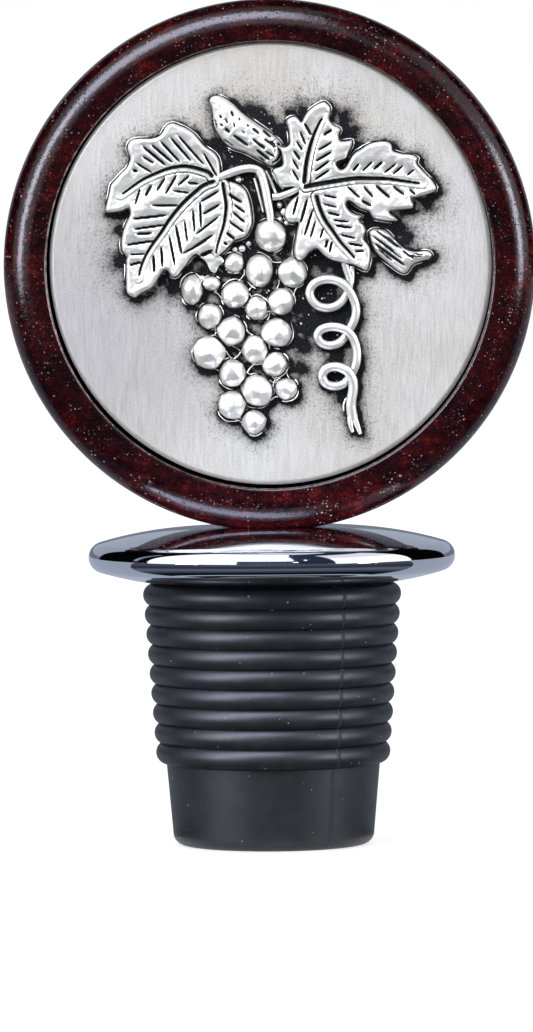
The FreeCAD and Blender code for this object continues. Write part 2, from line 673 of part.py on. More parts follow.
def make_medallion():
    facing_back = FreeCAD.Rotation(Vector(1, 0, 0), -90)
    pieces = []
    field = doc.addObject("Part::Cylinder", "medallion_field")
    bind(field, {
        "Radius": medallion_radius,
        "Height": "medallion_thickness - medallion_edge",
        "Placement.Base.y": "medallion_edge",
    })
    bevel = doc.addObject("Part::Cone", "medallion_bevel")
    bind(bevel, {
        "Radius1": f"{medallion_radius} - medallion_edge",
        "Radius2": medallion_radius,
        "Height": "medallion_edge",
    })
    for round_piece in (field, bevel):
        round_piece.Placement.Rotation = facing_back
        pieces.append(round_piece)
    for number, (across, up, radius) in enumerate(grapes, start=1):
        grape = doc.addObject("Part::Sphere", f"grape_{number}")
        bind(grape, {
            "Radius": radius,
            "Placement.Base.x": f"{across} * {relief_scale}",
            "Placement.Base.z": f"{up} * {relief_scale}",
        })
        grape.Placement.Rotation = facing_back
        pieces.append(grape)
    pieces.append(add_shape("left_leaf", leaf_shape(left_leaf, left_veins)))
    pieces.append(add_shape("right_leaf", leaf_shape(right_leaf, right_veins)))
    cane_bark = [(0.35, 0.45, 0.95), (-0.05, 0.35, 0.9), (-0.45, 0.4, 0.98), (-0.75, 0.3, 0.7)]
    cane = cane_shape(cane_ends, size("cane_radius"), size("cane_height"), cane_bark)
    pieces.append(add_shape("cane", cane))
    spur_bark = [(0.6, 0.02, 0.8), (0.0, 0.02, 0.7), (-0.45, 0.1, 0.95)]
    spur = cane_shape(spur_ends, size("spur_radius"), size("spur_height"), spur_bark)
    pieces.append(add_shape("spur", spur))
    twig = cane_shape(twig_ends, size("twig_radius"), size("twig_height"), [(0.0, 0.1, 0.6)])
    pieces.append(add_shape("twig", twig))
    stalks = {"leaf_stalk": leaf_stalk, "bunch_stalk": bunch_stalk, "right_stalk": right_stalk}
    for name, points in stalks.items():
        pieces.append(add_shape(name, stalk_shape(points, size("stalk_radius"), size("stalk_sink"))))
    for number, (across, up, radius) in enumerate(tendril_loops, start=1):
        loop = doc.addObject("Part::Torus", f"tendril_loop_{number}")
        bind(loop, {
            "Radius1": f"{radius} * {relief_scale}",
            "Radius2": "tendril_radius",
            "Placement.Base.x": f"{across} * {relief_scale}",
            "Placement.Base.y": "tendril_sink",
            "Placement.Base.z": f"{up} * {relief_scale}",
        })
        loop.Placement.Rotation = facing_back
        pieces.append(loop)
    for number, through in enumerate(tendril_bows, start=1):
        bow = bow_shape(through, size("tendril_radius"), size("tendril_sink"))
        pieces.append(add_shape(f"tendril_bow_{number}", bow))
    doc.recompute()
    medallion = doc.addObject("Part::MultiFuse", "medallion")
    medallion.Label = "medallion"
    medallion.Shapes = pieces
    bind(medallion, {
        "Placement.Base.x": "medallion_shift_x",
        "Placement.Base.y": f"-{medallion_face}",
        "Placement.Base.z": f"{disc_level} + medallion_shift_z",
    })
    return medallion


sub_parts = [
    make_rubber_sleeve(),
    make_stopper_cap(),
    make_threaded_stud(),
    make_wood_disc(),
    make_medallion(),
]
doc.recompute()

# Every feature and every finished piece is sound before anything is written

for feature in doc.Objects:
    if "Invalid" in feature.State or "Error" in feature.State:
        raise RuntimeError(f"{feature.Name} failed: {feature.State}")
for sub_part in sub_parts:
    shape = sub_part.Shape
    if shape.isNull() or not shape.isValid():
        raise RuntimeError(f"{sub_part.Label} has no sound shape")
    if len(shape.Solids) != 1:
        raise RuntimeError(f"{sub_part.Label} has {len(shape.Solids)} solids")

os.makedirs("parts", exist_ok=True)
for sub_part in sub_parts:
    sub_part.Shape.exportStep(f"parts/{sub_part.Label}.step")
    print(f"{sub_part.Label}: {sub_part.Shape.Volume:.0f} mm3, {len(sub_part.Shape.Faces)} faces")
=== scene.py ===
import math
import random

import bmesh
import bpy
import numpy as np
from mathutils import Matrix, Vector, noise
from mathutils.bvhtree import BVHTree


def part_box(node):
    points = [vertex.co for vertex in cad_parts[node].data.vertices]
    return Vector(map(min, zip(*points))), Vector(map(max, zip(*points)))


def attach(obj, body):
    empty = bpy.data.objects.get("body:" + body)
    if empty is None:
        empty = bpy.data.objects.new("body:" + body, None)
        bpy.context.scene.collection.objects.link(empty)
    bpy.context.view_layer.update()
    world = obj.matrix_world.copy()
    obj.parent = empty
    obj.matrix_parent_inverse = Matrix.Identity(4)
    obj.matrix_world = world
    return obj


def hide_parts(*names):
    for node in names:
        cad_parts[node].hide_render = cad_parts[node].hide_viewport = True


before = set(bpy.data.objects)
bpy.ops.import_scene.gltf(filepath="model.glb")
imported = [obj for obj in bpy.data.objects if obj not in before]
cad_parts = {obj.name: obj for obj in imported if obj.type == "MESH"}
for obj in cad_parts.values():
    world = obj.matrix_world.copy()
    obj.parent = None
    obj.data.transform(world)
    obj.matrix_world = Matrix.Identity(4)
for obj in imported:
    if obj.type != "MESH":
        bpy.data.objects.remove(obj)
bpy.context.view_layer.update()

print("frame loaded:", ", ".join(sorted(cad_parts)))

mm = 0.001
scene = bpy.context.scene
scene.view_settings.view_transform = "Standard"

# The stopper: a turned wood disc with a cast pewter medallion, standing on a chromed cap, with a
# ribbed rubber plug below. Pieces are made in millimetres and set down in metres.

photo = {
    "height": 1032,
    "pixelsPerMm": 13.15,       # at the stopper's axis
    "facePixelsPerMm": 13.28,   # at the medallion's face, which is nearer
    "medallionX": 268.2,        # middle of the medallion, in pixels of the photo
    "medallionY": 263.5,
}


# Camera

cameraSet = {
    "distance": 500.0,      # mm from the stopper's axis
    "height": 46.2,         # mm above the table
    "aimX": -0.38,          # what lies in the middle of the frame
    "aimZ": 24.99,
    "sensor": 36.0,
    "roll": 0.44,           # degrees, the top leans to the left
}


def makeCamera():
    data = bpy.data.cameras.new("camera")
    data.sensor_width = cameraSet["sensor"]
    data.lens = cameraSet["sensor"] * cameraSet["distance"] * photo["pixelsPerMm"] / photo["height"]
    data.clip_start = 0.01
    data.clip_end = 50
    camera = bpy.data.objects.new("camera", data)
    scene.collection.objects.link(camera)
    place = Vector((cameraSet["aimX"], -cameraSet["distance"], cameraSet["height"])) * mm
    aim = Vector((cameraSet["aimX"], 0, cameraSet["aimZ"])) * mm
    turn = (aim - place).to_track_quat("-Z", "Y").to_matrix().to_4x4()
    roll = Matrix.Rotation(-math.radians(cameraSet["roll"]), 4, "Z")
    camera.matrix_world = Matrix.Translation(place) @ turn @ roll
    scene.camera = camera


makeCamera()


# Small helpers for nodes and meshes

# sRGB hex to linear.
def hexColour(text):
    values = [int(text[i:i + 2], 16) / 255 for i in (0, 2, 4)]
    linear = [v / 12.92 if v <= 0.04045 else ((v + 0.055) / 1.055) ** 2.4 for v in values]
    return (*linear, 1.0)


# Links outputs and sets plain values, by name or in their order; a text is a hex colour.
def setInputs(node, inputs):
    for name, value in inputs.items() if isinstance(inputs, dict) else enumerate(inputs):
        if isinstance(value, bpy.types.NodeSocket):
            node.id_data.links.new(value, node.inputs[name])
        else:
            node.inputs[name].default_value = hexColour(value) if isinstance(value, str) else value


# Adds a node with its settings and links, and gives back one of its outputs. A MapRange gets its
# value, the range that it comes from and the range that it goes to.
def addNode(tree, kind, inputs, output=0, **settings):
    made = tree.nodes.new("ShaderNode" + kind)
    for name, value in settings.items():
        setattr(made, name, value)
    setInputs(made, inputs)
    return made.outputs[output]


def newMaterial(name):
    material = bpy.data.materials.new(name)
    material.use_nodes = True
    tree = material.node_tree
    return material, tree, tree.nodes["Principled BSDF"]


# Patterns are scaled in millimetres on the piece.
def placeInMm(tree):
    place = addNode(tree, "TexCoord", {}, "Object")
    return addNode(tree, "Mapping", {"Vector": place, "Scale": (1 / mm, 1 / mm, 1 / mm)})


# Points on an arc, angles in degrees from the first axis.
def arcPoints(centre, radius, startAngle, endAngle, steps):
    found = []
    for i in range(steps + 1):
        angle = math.radians(startAngle + (endAngle - startAngle) * i / steps)
        found.append((centre[0] + radius * math.cos(angle), centre[1] + radius * math.sin(angle)))
    return found


# A turned shape: (radius, along) points spun once about an axis through the origin.
def spinProfile(profile, steps, axis=(0, 0, 1)):
    bm = bmesh.new()
    verts = [bm.verts.new((radius, axis[1] * along, axis[2] * along)) for radius, along in profile]
    edges = [bm.edges.new(pair) for pair in zip(verts, verts[1:])]
    bmesh.ops.spin(bm, geom=verts + edges, cent=(0, 0, 0), axis=axis, angle=math.tau, steps=steps,
                   use_merge=True)
    bmesh.ops.remove_doubles(bm, verts=bm.verts[:], dist=1e-5)
    bmesh.ops.recalc_face_normals(bm, faces=bm.faces[:])
    return bm


# The tip of a drilled hole, below or beyond its depth.
def drillTip(sizes):
    return sizes["holeRadius"] * math.tan(math.radians(sizes["holeSlope"]))


# Cuts along a plane; what lies beyond it goes, unless it is kept.
def cutPlane(bm, place, normal, snap=1e-6, keep=False):
    bmesh.ops.bisect_plane(bm, geom=bm.verts[:] + bm.edges[:] + bm.faces[:], dist=snap,
                           plane_co=place, plane_no=normal, clear_outer=not keep)


def closeRim(bm):
    bmesh.ops.contextual_create(bm, geom=[edge for edge in bm.edges if edge.is_boundary])


# Doubles the open rim and gives back the new points, to be moved.
def extrudeRim(bm):
    made = bmesh.ops.extrude_edge_only(bm, edges=[edge for edge in bm.edges if edge.is_boundary])["geom"]
    return [item for item in made if isinstance(item, bmesh.types.BMVert)]


def addObject(bm, name, material=None):
    mesh = bpy.data.meshes.new(name)
    bm.to_mesh(mesh)
    bm.free()
    if material:
        mesh.materials.append(material)
    made = bpy.data.objects.new(name, mesh)
    scene.collection.objects.link(made)
    return made


# Turns a bmesh in millimetres into a piece that rides on the stopper.
def finishPiece(bm, name, material, place=None, sharpAngle=40):
    if place is not None:
        bmesh.ops.transform(bm, matrix=place, verts=bm.verts[:])
    bmesh.ops.scale(bm, vec=(mm, mm, mm), verts=bm.verts[:])
    piece = addObject(bm, name, material)
    piece.data.shade_smooth()
    piece.data.set_sharp_from_angle(angle=math.radians(sharpAngle))
    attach(piece, "root")
    print(name, "made,", sum(len(face.vertices) - 2 for face in piece.data.polygons), "triangles")
    return piece


# Materials

wood = {
    "dark": "140407",        # stain gathered in the grain
    "middle": "360a0e",
    "light": "6b1a17",       # where the stain is thin
    "recess": "060303",      # painted shade: near black in the gap round the medallion
    "worn": "c8aeaa",        # lip of the recess: lacquer rubbed through, and a painted highlight along the edge
    "paleSpeckAndGlint": "dcbcb6",       # pale pores: filler, and painted glints of light in the pore openings
    "grainWidth": 0.9,       # mm
    "grainTurn": 24,         # degrees
    "poreSpacing": 0.25,     # mm
}


def makeWood():
    # Stained hardwood under a gloss lacquer: deep red-brown, cloudy, with pores that show as specks
    material, tree, shader = newMaterial("lacqueredWood")
    inMm = placeInMm(tree)
    alongGrain = addNode(tree, "Mapping", {
        "Vector": inMm, "Rotation": (0, math.radians(wood["grainTurn"]), 0), "Scale": (0.22, 1, 1)})
    grain = addNode(tree, "TexNoise", {
        "Vector": alongGrain, "Scale": 1 / wood["grainWidth"], "Detail": 8, "Roughness": 0.72})
    clouds = addNode(tree, "TexNoise", {"Vector": inMm, "Scale": 0.32, "Detail": 5, "Roughness": 0.65})
    fine = addNode(tree, "TexNoise", {"Vector": inMm, "Scale": 5.5, "Detail": 2, "Roughness": 0.6})
    mottle = addNode(tree, "TexNoise", {"Vector": inMm, "Scale": 1.7, "Detail": 6, "Roughness": 0.7})
    # the sum of these says how thin the stain lies
    shares = [addNode(tree, "MapRange", values) for values in (
        (clouds, 0.36, 0.66), (grain, 0.4, 0.68), (fine, 0.35, 0.65, -0.45, 0.45), (mottle, 0.38, 0.66))]
    thinness = shares[0]
    for share in shares[1:]:
        thinness = addNode(tree, "Math", (thinness, share), operation="ADD")
    low, high = (addNode(tree, "MapRange", (thinness, *reach), interpolation_type="SMOOTHSTEP")
                 for reach in ((0.4, 1.5), (1.5, 2.5)))
    # pores: pits in small groups, some of them pale, as filler and painted glints
    ragged = addNode(tree, "TexNoise", {"Vector": inMm, "Scale": 7.0, "Detail": 2}, "Color")
    shifted = addNode(tree, "VectorMath", (ragged, (0.16, 0.16, 0.16), inMm), operation="MULTIPLY_ADD")
    pores = addNode(tree, "TexVoronoi", {
        "Vector": shifted, "Scale": 1 / wood["poreSpacing"], "Randomness": 1.0}).node.outputs
    poreKind = addNode(tree, "SeparateColor", {"Color": pores["Color"]}).node.outputs
    groups = addNode(tree, "TexNoise", {"Vector": inMm, "Scale": 0.55, "Detail": 2})
    groups = addNode(tree, "MapRange", (groups, 0.38, 0.62, 0.04, 1.0))
    inGroup = addNode(tree, "Math", (poreKind[0], groups), operation="LESS_THAN")
    poreSize = addNode(tree, "MapRange", (poreKind[1], 0, 1, 0.12, 0.4))
    poreSize = addNode(tree, "Math", (poreSize, inGroup), operation="MULTIPLY")
    poreDepth = addNode(tree, "Math", (poreSize, pores["Distance"]), operation="SUBTRACT")
    poreShare = addNode(tree, "MapRange", (poreDepth, 0.0, 0.14))
    fillerAndGlint = addNode(tree, "MapRange", (poreKind[2], 0.5, 1.0))
    poreColour = addNode(tree, "Mix", {0: fillerAndGlint, 6: wood["dark"], 7: wood["paleSpeckAndGlint"]}, 2, data_type="RGBA")
    # pale lip of the recess: rubbed lacquer, partly a painted highlight
    lip = addNode(tree, "Attribute", {}, "Fac", attribute_name="lip")
    wearAndSheen = addNode(tree, "Math", (lip, shares[-1]), operation="MULTIPLY")
    # painted shade: the recess round the medallion goes near black
    recess = addNode(tree, "Attribute", {}, "Fac", attribute_name="recess")
    base = wood["dark"]
    for share, colour in ((low, wood["middle"]), (high, wood["light"]), (poreShare, poreColour),
                          (wearAndSheen, wood["worn"]), (recess, wood["recess"])):
        base = addNode(tree, "Mix", {0: share, 6: base, 7: colour}, 2, data_type="RGBA")
    height = addNode(tree, "Math", (grain, poreShare), operation="SUBTRACT")
    waves = addNode(tree, "Math", (mottle, 0.6), operation="MULTIPLY")
    lacquer = addNode(tree, "Math", (waves, poreShare), operation="SUBTRACT")
    setInputs(shader, {
        "Base Color": base,
        "Roughness": 0.5,
        "Specular IOR Level": 0.0,      # all the gloss is the lacquer's
        "Normal": addNode(tree, "Bump", {"Height": height, "Strength": 0.25, "Distance": 0.00008}),
        "Coat Weight": addNode(tree, "Math", (1.0, recess), operation="SUBTRACT"),
        "Coat Roughness": 0.06,
        "Coat IOR": 1.38,
        "Coat Normal": addNode(tree, "Bump", {"Height": lacquer, "Strength": 0.7, "Distance": 0.00006}),
    })
    return material


pewter = {
    "field": "d0cec5",       # brushed, so a little darker than the polished relief
    "fieldWarm": "c8c5b9",
    "fieldDull": "bab8b2",   # duller and darker round a place at the lower left
    "dullMiddle": (-14.0, -7.0, 39.0),
    "dullReach": (3.0, 15.0),
    "relief": "edece3",
    "metalShare": 0.62,      # the rest scatters, as a satin casting does
    "reliefMetalShare": 0.6,
    "black": "08080d",       # antiquing left in the hollows, with painted shadow below and right of the forms
    "blackGrain": "4a4a52",
    "brushWidth": 0.07,      # mm between the marks of the brush
    "brushTurn": -6,         # degrees
    "skinDepth": 5.0,        # unevenness of the cast relief, against the brush marks
    "haloFlat": 0.16,        # mm of full black round a form
    "haloWander": 0.14,      # mm by which that comes and goes
    "haloWidth": 0.36,       # mm in which the black then fades to a third
}


def makePewter():
    # Antiqued pewter: a grey-white tin alloy, brushed on the field and burnished on the relief, with
    # black patina that was wiped off everything but the hollows
    material, tree, shader = newMaterial("antiquedPewter")
    inMm = placeInMm(tree)
    hollow, away, relief = (addNode(tree, "Attribute", {}, "Fac", attribute_name=name)
                            for name in ("hollow", "away", "relief"))
    brushPlace = addNode(tree, "Mapping", {
        "Vector": inMm, "Rotation": (0, math.radians(pewter["brushTurn"]), 0),
        "Scale": (1 / pewter["brushWidth"], 1, 1.3)})
    brushed = addNode(tree, "TexNoise", {"Vector": brushPlace, "Scale": 0.5, "Detail": 4, "Roughness": 0.6})
    patches = addNode(tree, "TexNoise", {"Vector": inMm, "Scale": 0.09, "Detail": 2})
    patches = addNode(tree, "MapRange", (patches, 0.4, 0.6), interpolation_type="SMOOTHSTEP")
    fromDull = addNode(tree, "VectorMath", (inMm, pewter["dullMiddle"]), "Value", operation="DISTANCE")
    dull = addNode(tree, "MapRange", (fromDull, *pewter["dullReach"], 1.0, 0.0),
                   interpolation_type="SMOOTHSTEP")
    field = pewter["field"]
    for share, colour in ((patches, pewter["fieldWarm"]), (dull, pewter["fieldDull"])):
        field = addNode(tree, "Mix", {0: share, 6: field, 7: colour}, 2, data_type="RGBA")
    marks = addNode(tree, "MapRange", (brushed, 0.3, 0.7, 0.955, 1.03))
    sand = addNode(tree, "TexNoise", {"Vector": inMm, "Scale": 8.0, "Detail": 2})
    sanded = addNode(tree, "MapRange", (sand, 0.35, 0.65, 0.92, 1.06))
    marks = addNode(tree, "Math", (marks, sanded), operation="MULTIPLY")
    field = addNode(tree, "VectorMath", (field, marks), operation="MULTIPLY")
    # black round the forms, antiquing with a painted shadow to the lower right: full beside them, then a fade
    # that grains and blotches make uneven
    grains = addNode(tree, "TexNoise", {"Vector": inMm, "Scale": 6.5, "Detail": 2, "Roughness": 0.7})
    blotches = addNode(tree, "TexNoise", {"Vector": inMm, "Scale": 1.1, "Detail": 3, "Roughness": 0.6})
    flat, wander = pewter["haloFlat"], pewter["haloWander"]
    pull = addNode(tree, "MapRange", (blotches, 0.3, 0.7, -flat - wander, -flat + wander))
    spread = addNode(tree, "Math", (away, pull), operation="ADD")
    spread = addNode(tree, "Math", (spread, 0.0), operation="MAXIMUM")
    fade = addNode(tree, "Math", (spread, -pewter["haloWidth"]), operation="DIVIDE")
    fade = addNode(tree, "Math", (fade,), operation="EXPONENT")
    speckle = addNode(tree, "MapRange", (grains, 0.34, 0.66, 0.35, 2.5))
    halo = addNode(tree, "Math", (fade, speckle), operation="POWER", use_clamp=True)
    onField = addNode(tree, "Math", (1.0, relief), operation="SUBTRACT")
    halo = addNode(tree, "Math", (halo, onField), operation="MULTIPLY")
    hollowSharp = addNode(tree, "MapRange", (hollow, 0.15, 0.85), interpolation_type="SMOOTHSTEP")
    black = addNode(tree, "Math", (halo, hollowSharp), operation="MAXIMUM")
    grit = addNode(tree, "MapRange", (sand, 0.54, 0.8))
    stain = addNode(tree, "Mix", {0: grit, 6: pewter["black"], 7: pewter["blackGrain"]}, 2, data_type="RGBA")
    base = field
    for share, colour in ((relief, pewter["relief"]), (black, stain)):
        base = addNode(tree, "Mix", {0: share, 6: base, 7: colour}, 2, data_type="RGBA")
    bare = addNode(tree, "Math", (1.0, black), operation="SUBTRACT")
    rough = addNode(tree, "MapRange", (brushed, 0.3, 0.7, 0.5, 0.6))
    for share, value in ((relief, 0.44), (black, 0.55)):
        rough = addNode(tree, "Mix", {0: share, 2: rough, 3: value})
    metal = addNode(tree, "Mix", {0: relief, 2: pewter["metalShare"], 3: pewter["reliefMetalShare"]})
    height = addNode(tree, "Math", (brushed, onField), operation="MULTIPLY")
    pitted = addNode(tree, "Math", (grains, black), operation="MULTIPLY")
    height = addNode(tree, "Math", (height, pitted), operation="ADD")
    castSkin = addNode(tree, "TexNoise", {"Vector": inMm, "Scale": 2.4, "Detail": 4, "Roughness": 0.6})
    castSkin = addNode(tree, "Math", (castSkin, relief), operation="MULTIPLY")
    height = addNode(tree, "Math", (castSkin, pewter["skinDepth"], height), operation="MULTIPLY_ADD")
    setInputs(shader, {
        "Base Color": base,
        "Metallic": addNode(tree, "Math", (bare, metal), operation="MULTIPLY"),
        "Roughness": rough,
        "Specular IOR Level": 0.15,
        "Normal": addNode(tree, "Bump", {"Height": height, "Strength": 0.18, "Distance": 0.00004}),
    })
    return material


chrome = {
    "colour": "ced2d9",      # bluish plating
    "roughness": (0.035, 0.063),
}


def makeChrome():
    # Polished chromium plate: a cold mirror with a few hairlines from wiping
    material, tree, shader = newMaterial("chromePlate")
    wiped = addNode(tree, "TexNoise", {"Vector": placeInMm(tree), "Scale": 0.6, "Detail": 3})
    setInputs(shader, {
        "Base Color": chrome["colour"],
        "Metallic": 1.0,
        "Roughness": addNode(tree, "MapRange", (wiped, 0.3, 0.7, *chrome["roughness"])),
        "Normal": addNode(tree, "Bump", {"Height": wiped, "Strength": 0.03, "Distance": 0.00005}),
    })
    return material


rubber = {
    "colour": "20232b",
    "worn": "353943",        # where handling has greyed it
    "dust": "b4b8be",
    "seam": "565b64",        # line left by the mould
    "seamAngle": 33.5,       # degrees to the right of the front
}


def makeRubber():
    # Moulded nitrile rubber: a matt blue-black with a grey bloom and specks of dust
    material, tree, shader = newMaterial("mouldedRubber")
    inMm = placeInMm(tree)
    bloom = addNode(tree, "TexNoise", {"Vector": inMm, "Scale": 0.45, "Detail": 5, "Roughness": 0.65})
    bloom = addNode(tree, "MapRange", (bloom, 0.42, 0.72, 0, 0.7))
    specks = addNode(tree, "TexVoronoi", {"Vector": inMm, "Scale": 1.7}).node.outputs
    speckSize = addNode(tree, "SeparateColor", {"Color": specks["Color"]})
    speckSize = addNode(tree, "MapRange", (speckSize, 0.66, 1.0, 0, 0.13))
    onSpeck = addNode(tree, "Math", (specks["Distance"], speckSize), operation="LESS_THAN")
    seam = addNode(tree, "Attribute", {}, "Fac", attribute_name="seam")
    base = rubber["colour"]
    for share, colour in ((bloom, rubber["worn"]), (onSpeck, rubber["dust"]), (seam, rubber["seam"])):
        base = addNode(tree, "Mix", {0: share, 6: base, 7: colour}, 2, data_type="RGBA")
    skin = addNode(tree, "TexNoise", {"Vector": inMm, "Scale": 9.0, "Detail": 3})
    setInputs(shader, {
        "Base Color": base,
        "Roughness": 0.46,
        "Specular IOR Level": 0.4,
        "Normal": addNode(tree, "Bump", {"Height": skin, "Strength": 0.12, "Distance": 0.00004}),
    })
    return material


steel = {"colour": "a6a7a2"}


def makeSteel():
    # Zinc-plated steel: pale grey with a faint spangle
    material, tree, shader = newMaterial("zincedSteel")
    spangle = addNode(tree, "TexNoise", {"Vector": placeInMm(tree), "Scale": 1.5, "Detail": 3})
    setInputs(shader, {
        "Base Color": steel["colour"],
        "Metallic": 1.0,
        "Roughness": addNode(tree, "MapRange", (spangle, 0.3, 0.7, 0.28, 0.45)),
    })
    return material


woodMaterial = makeWood()
pewterMaterial = makePewter()
chromeMaterial = makeChrome()
rubberMaterial = makeRubber()
steelMaterial = makeSteel()
print("materials made")


# Wood disc

discLow, discHigh = (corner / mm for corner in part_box("wood_disc"))
disc = {
    "radius": (discHigh.x - discLow.x) / 2,
    "level": discHigh.z - (discHigh.x - discLow.x) / 2,
    "half": (discHigh.y - discLow.y) / 2,
    "edgeRound": 2.3,
    "seatFlat": 0.25,
    "backRing": 12.0,       # radius of an extra ring of points on the back
    "recessRadius": 16.8,
    "recessDepth": 2.1,
    "recessRound": 0.28,
    "paleLipWidth": 0.11,      # mm of the recess's lip that is painted pale, as wear and a highlight
    "holeRadius": 2.05,
    "holeDepth": 10.6,
    "holeSlope": 31.0,      # degrees, left by the drill's point
    "turnSteps": 288,
}


def makeDisc():
    face, back, radius = -disc["half"], disc["half"], disc["radius"]
    floor = face + disc["recessDepth"]
    rounding, lip, recess = disc["edgeRound"], disc["recessRound"], disc["recessRadius"]
    profile = [(0, floor), (recess, floor)]
    profile += arcPoints((recess + lip, face + lip), lip, 180, 270, 6)
    profile += [(recess + lip + 0.05, face), (recess + lip + 0.3, face)]
    profile += arcPoints((radius - rounding, face + rounding), rounding, -90, 0, 14)
    profile += arcPoints((radius - rounding, back - rounding), rounding, 0, 90, 14)
    profile += [(disc["backRing"], back), (0, back)]
    bm = spinProfile(profile, disc["turnSteps"], axis=(0, 1, 0))
    cutPlane(bm, (0, 0, -radius + disc["seatFlat"]), (0, 0, -1), snap=1e-5)
    closeRim(bm)
    bmesh.ops.recalc_face_normals(bm, faces=bm.faces[:])
    place = Matrix.Translation((0, 0, disc["level"]))
    piece = finishPiece(bm, "turned_wood_disc", woodMaterial, place)
    bm = spinProfile([(0, -1), (disc["holeRadius"], -1), (disc["holeRadius"], disc["holeDepth"]),
                      (0, disc["holeDepth"] + drillTip(disc))], 48)
    bmesh.ops.translate(bm, vec=(0, 0, discLow.z), verts=bm.verts[:])
    bmesh.ops.scale(bm, vec=(mm, mm, mm), verts=bm.verts[:])
    drill = addObject(bm, "drill")
    cut = piece.modifiers.new("studHole", "BOOLEAN")
    cut.object = drill
    cut.operation = "DIFFERENCE"
    cut.solver = "EXACT"
    bpy.context.view_layer.update()
    drilled = bpy.data.meshes.new_from_object(piece.evaluated_get(bpy.context.evaluated_depsgraph_get()))
    piece.modifiers.clear()
    piece.data = drilled
    bpy.data.objects.remove(drill)
    # painted shade: the recess's wall and floor go near black
    paintedShadeInRecess = drilled.attributes.new("recess", "FLOAT", "POINT")
    # the pale lip: lacquer rubbed through, partly a painted highlight
    onLip = drilled.attributes.new("lip", "FLOAT", "POINT")
    for vert, dark, worn in zip(drilled.vertices, paintedShadeInRecess.data, onLip.data):
        place = vert.co / mm
        out = math.hypot(place.x, place.z - disc["level"])
        dark.value = 1.0 if out < recess + 0.02 and face + lip < place.y < 0 else 0.0
        left = max(0.0, -place.x / max(out, 1))     # pale lip strongest on this side
        onEdge = recess < out < recess + disc["paleLipWidth"] and place.y < 0
        worn.value = 0.3 + 1.1 * left ** 4 if onEdge else 0.0
    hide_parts("wood_disc")


makeDisc()


# Medallion. Its relief is read off the photo: places are pixels of the photo, widths are mm.

medallionLow, medallionHigh = (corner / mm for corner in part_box("medallion"))
medallion = {
    "radius": (medallionHigh.x - medallionLow.x) / 2,
    "middleX": (medallionHigh.x + medallionLow.x) / 2,
    "middleZ": (medallionHigh.z + medallionLow.z) / 2,
    "thickness": 1.6,
    "grow": 0.05,           # closes some of the gap to the wood
    "edge": 0.26,
    "edgeDrop": 0.15,
    "rimFlat": 0.08,
    "fieldGrid": 0.3,
    "leafGrid": 0.075,
    "reliefTurn": -0.44,    # degrees, undoes the camera's roll
    "foot": -0.3,           # mm, how far the forms reach down into the field
}
medallion["face"] = medallionHigh.y - medallion["thickness"]

reliefTurn = math.radians(medallion["reliefTurn"])


# A pixel of the photo as millimetres across and up from the medallion's middle.
def fromPhoto(x, y):
    across = (x - photo["medallionX"]) / photo["facePixelsPerMm"]
    up = (photo["medallionY"] - y) / photo["facePixelsPerMm"]
    return Vector((across * math.cos(reliefTurn) - up * math.sin(reliefTurn),
                   across * math.sin(reliefTurn) + up * math.cos(reliefTurn)))


# A soft line through points (Catmull-Rom).
def smoothLine(points, closed, steps):
    count = len(points)
    found = []
    for i in range(count if closed else count - 1):
        if closed:
            a, b, c, d = (points[(i + k) % count] for k in (-1, 0, 1, 2))
        else:
            a, b, c, d = (points[min(max(i + k, 0), count - 1)] for k in (-1, 0, 1, 2))
        for step in range(steps):
            t = step / steps
            found.append(0.5 * (2 * b + (c - a) * t + (2 * a - 5 * b + 4 * c - d) * t * t
                                + (3 * b - a - 3 * c + d) * t ** 3))
    if not closed:
        found.append(points[-1].copy())
    return found


def photoLine(points, closed=False, steps=3):
    return smoothLine([fromPhoto(x, y) for x, y in points], closed, steps)


farAway = 1e9


# Distance of each place from a segment, and how far along it lies as a share.
def toSegment(places, start, end):
    start, end = np.array(start), np.array(end)
    line = end - start
    share = np.clip(((places - start) @ line) / (line @ line), 0, 1)
    return np.linalg.norm(places - (start + share[:, None] * line), axis=1), share


# Distance from a line of several segments, its side (+1 to the left), and the share along it.
def toLine(places, line):
    lengths = [(b - a).length for a, b in zip(line, line[1:])]
    total = sum(lengths)
    nearest = np.full(len(places), farAway)
    side = np.ones(len(places))
    along = np.zeros(len(places))
    done = 0.0
    for a, b, length in zip(line, line[1:], lengths):
        distance, share = toSegment(places, a, b)
        closer = distance < nearest
        nearest = np.where(closer, distance, nearest)
        offset = places - np.array(a)
        turn = (b - a).x * offset[:, 1] - (b - a).y * offset[:, 0]
        side = np.where(closer, np.sign(turn), side)
        along = np.where(closer, (done + share * length) / total, along)
        done += length
    return nearest, side, along


def softStep(values, low, high):
    share = np.clip((values - low) / (high - low), 0, 1)
    return share * share * (3 - 2 * share)


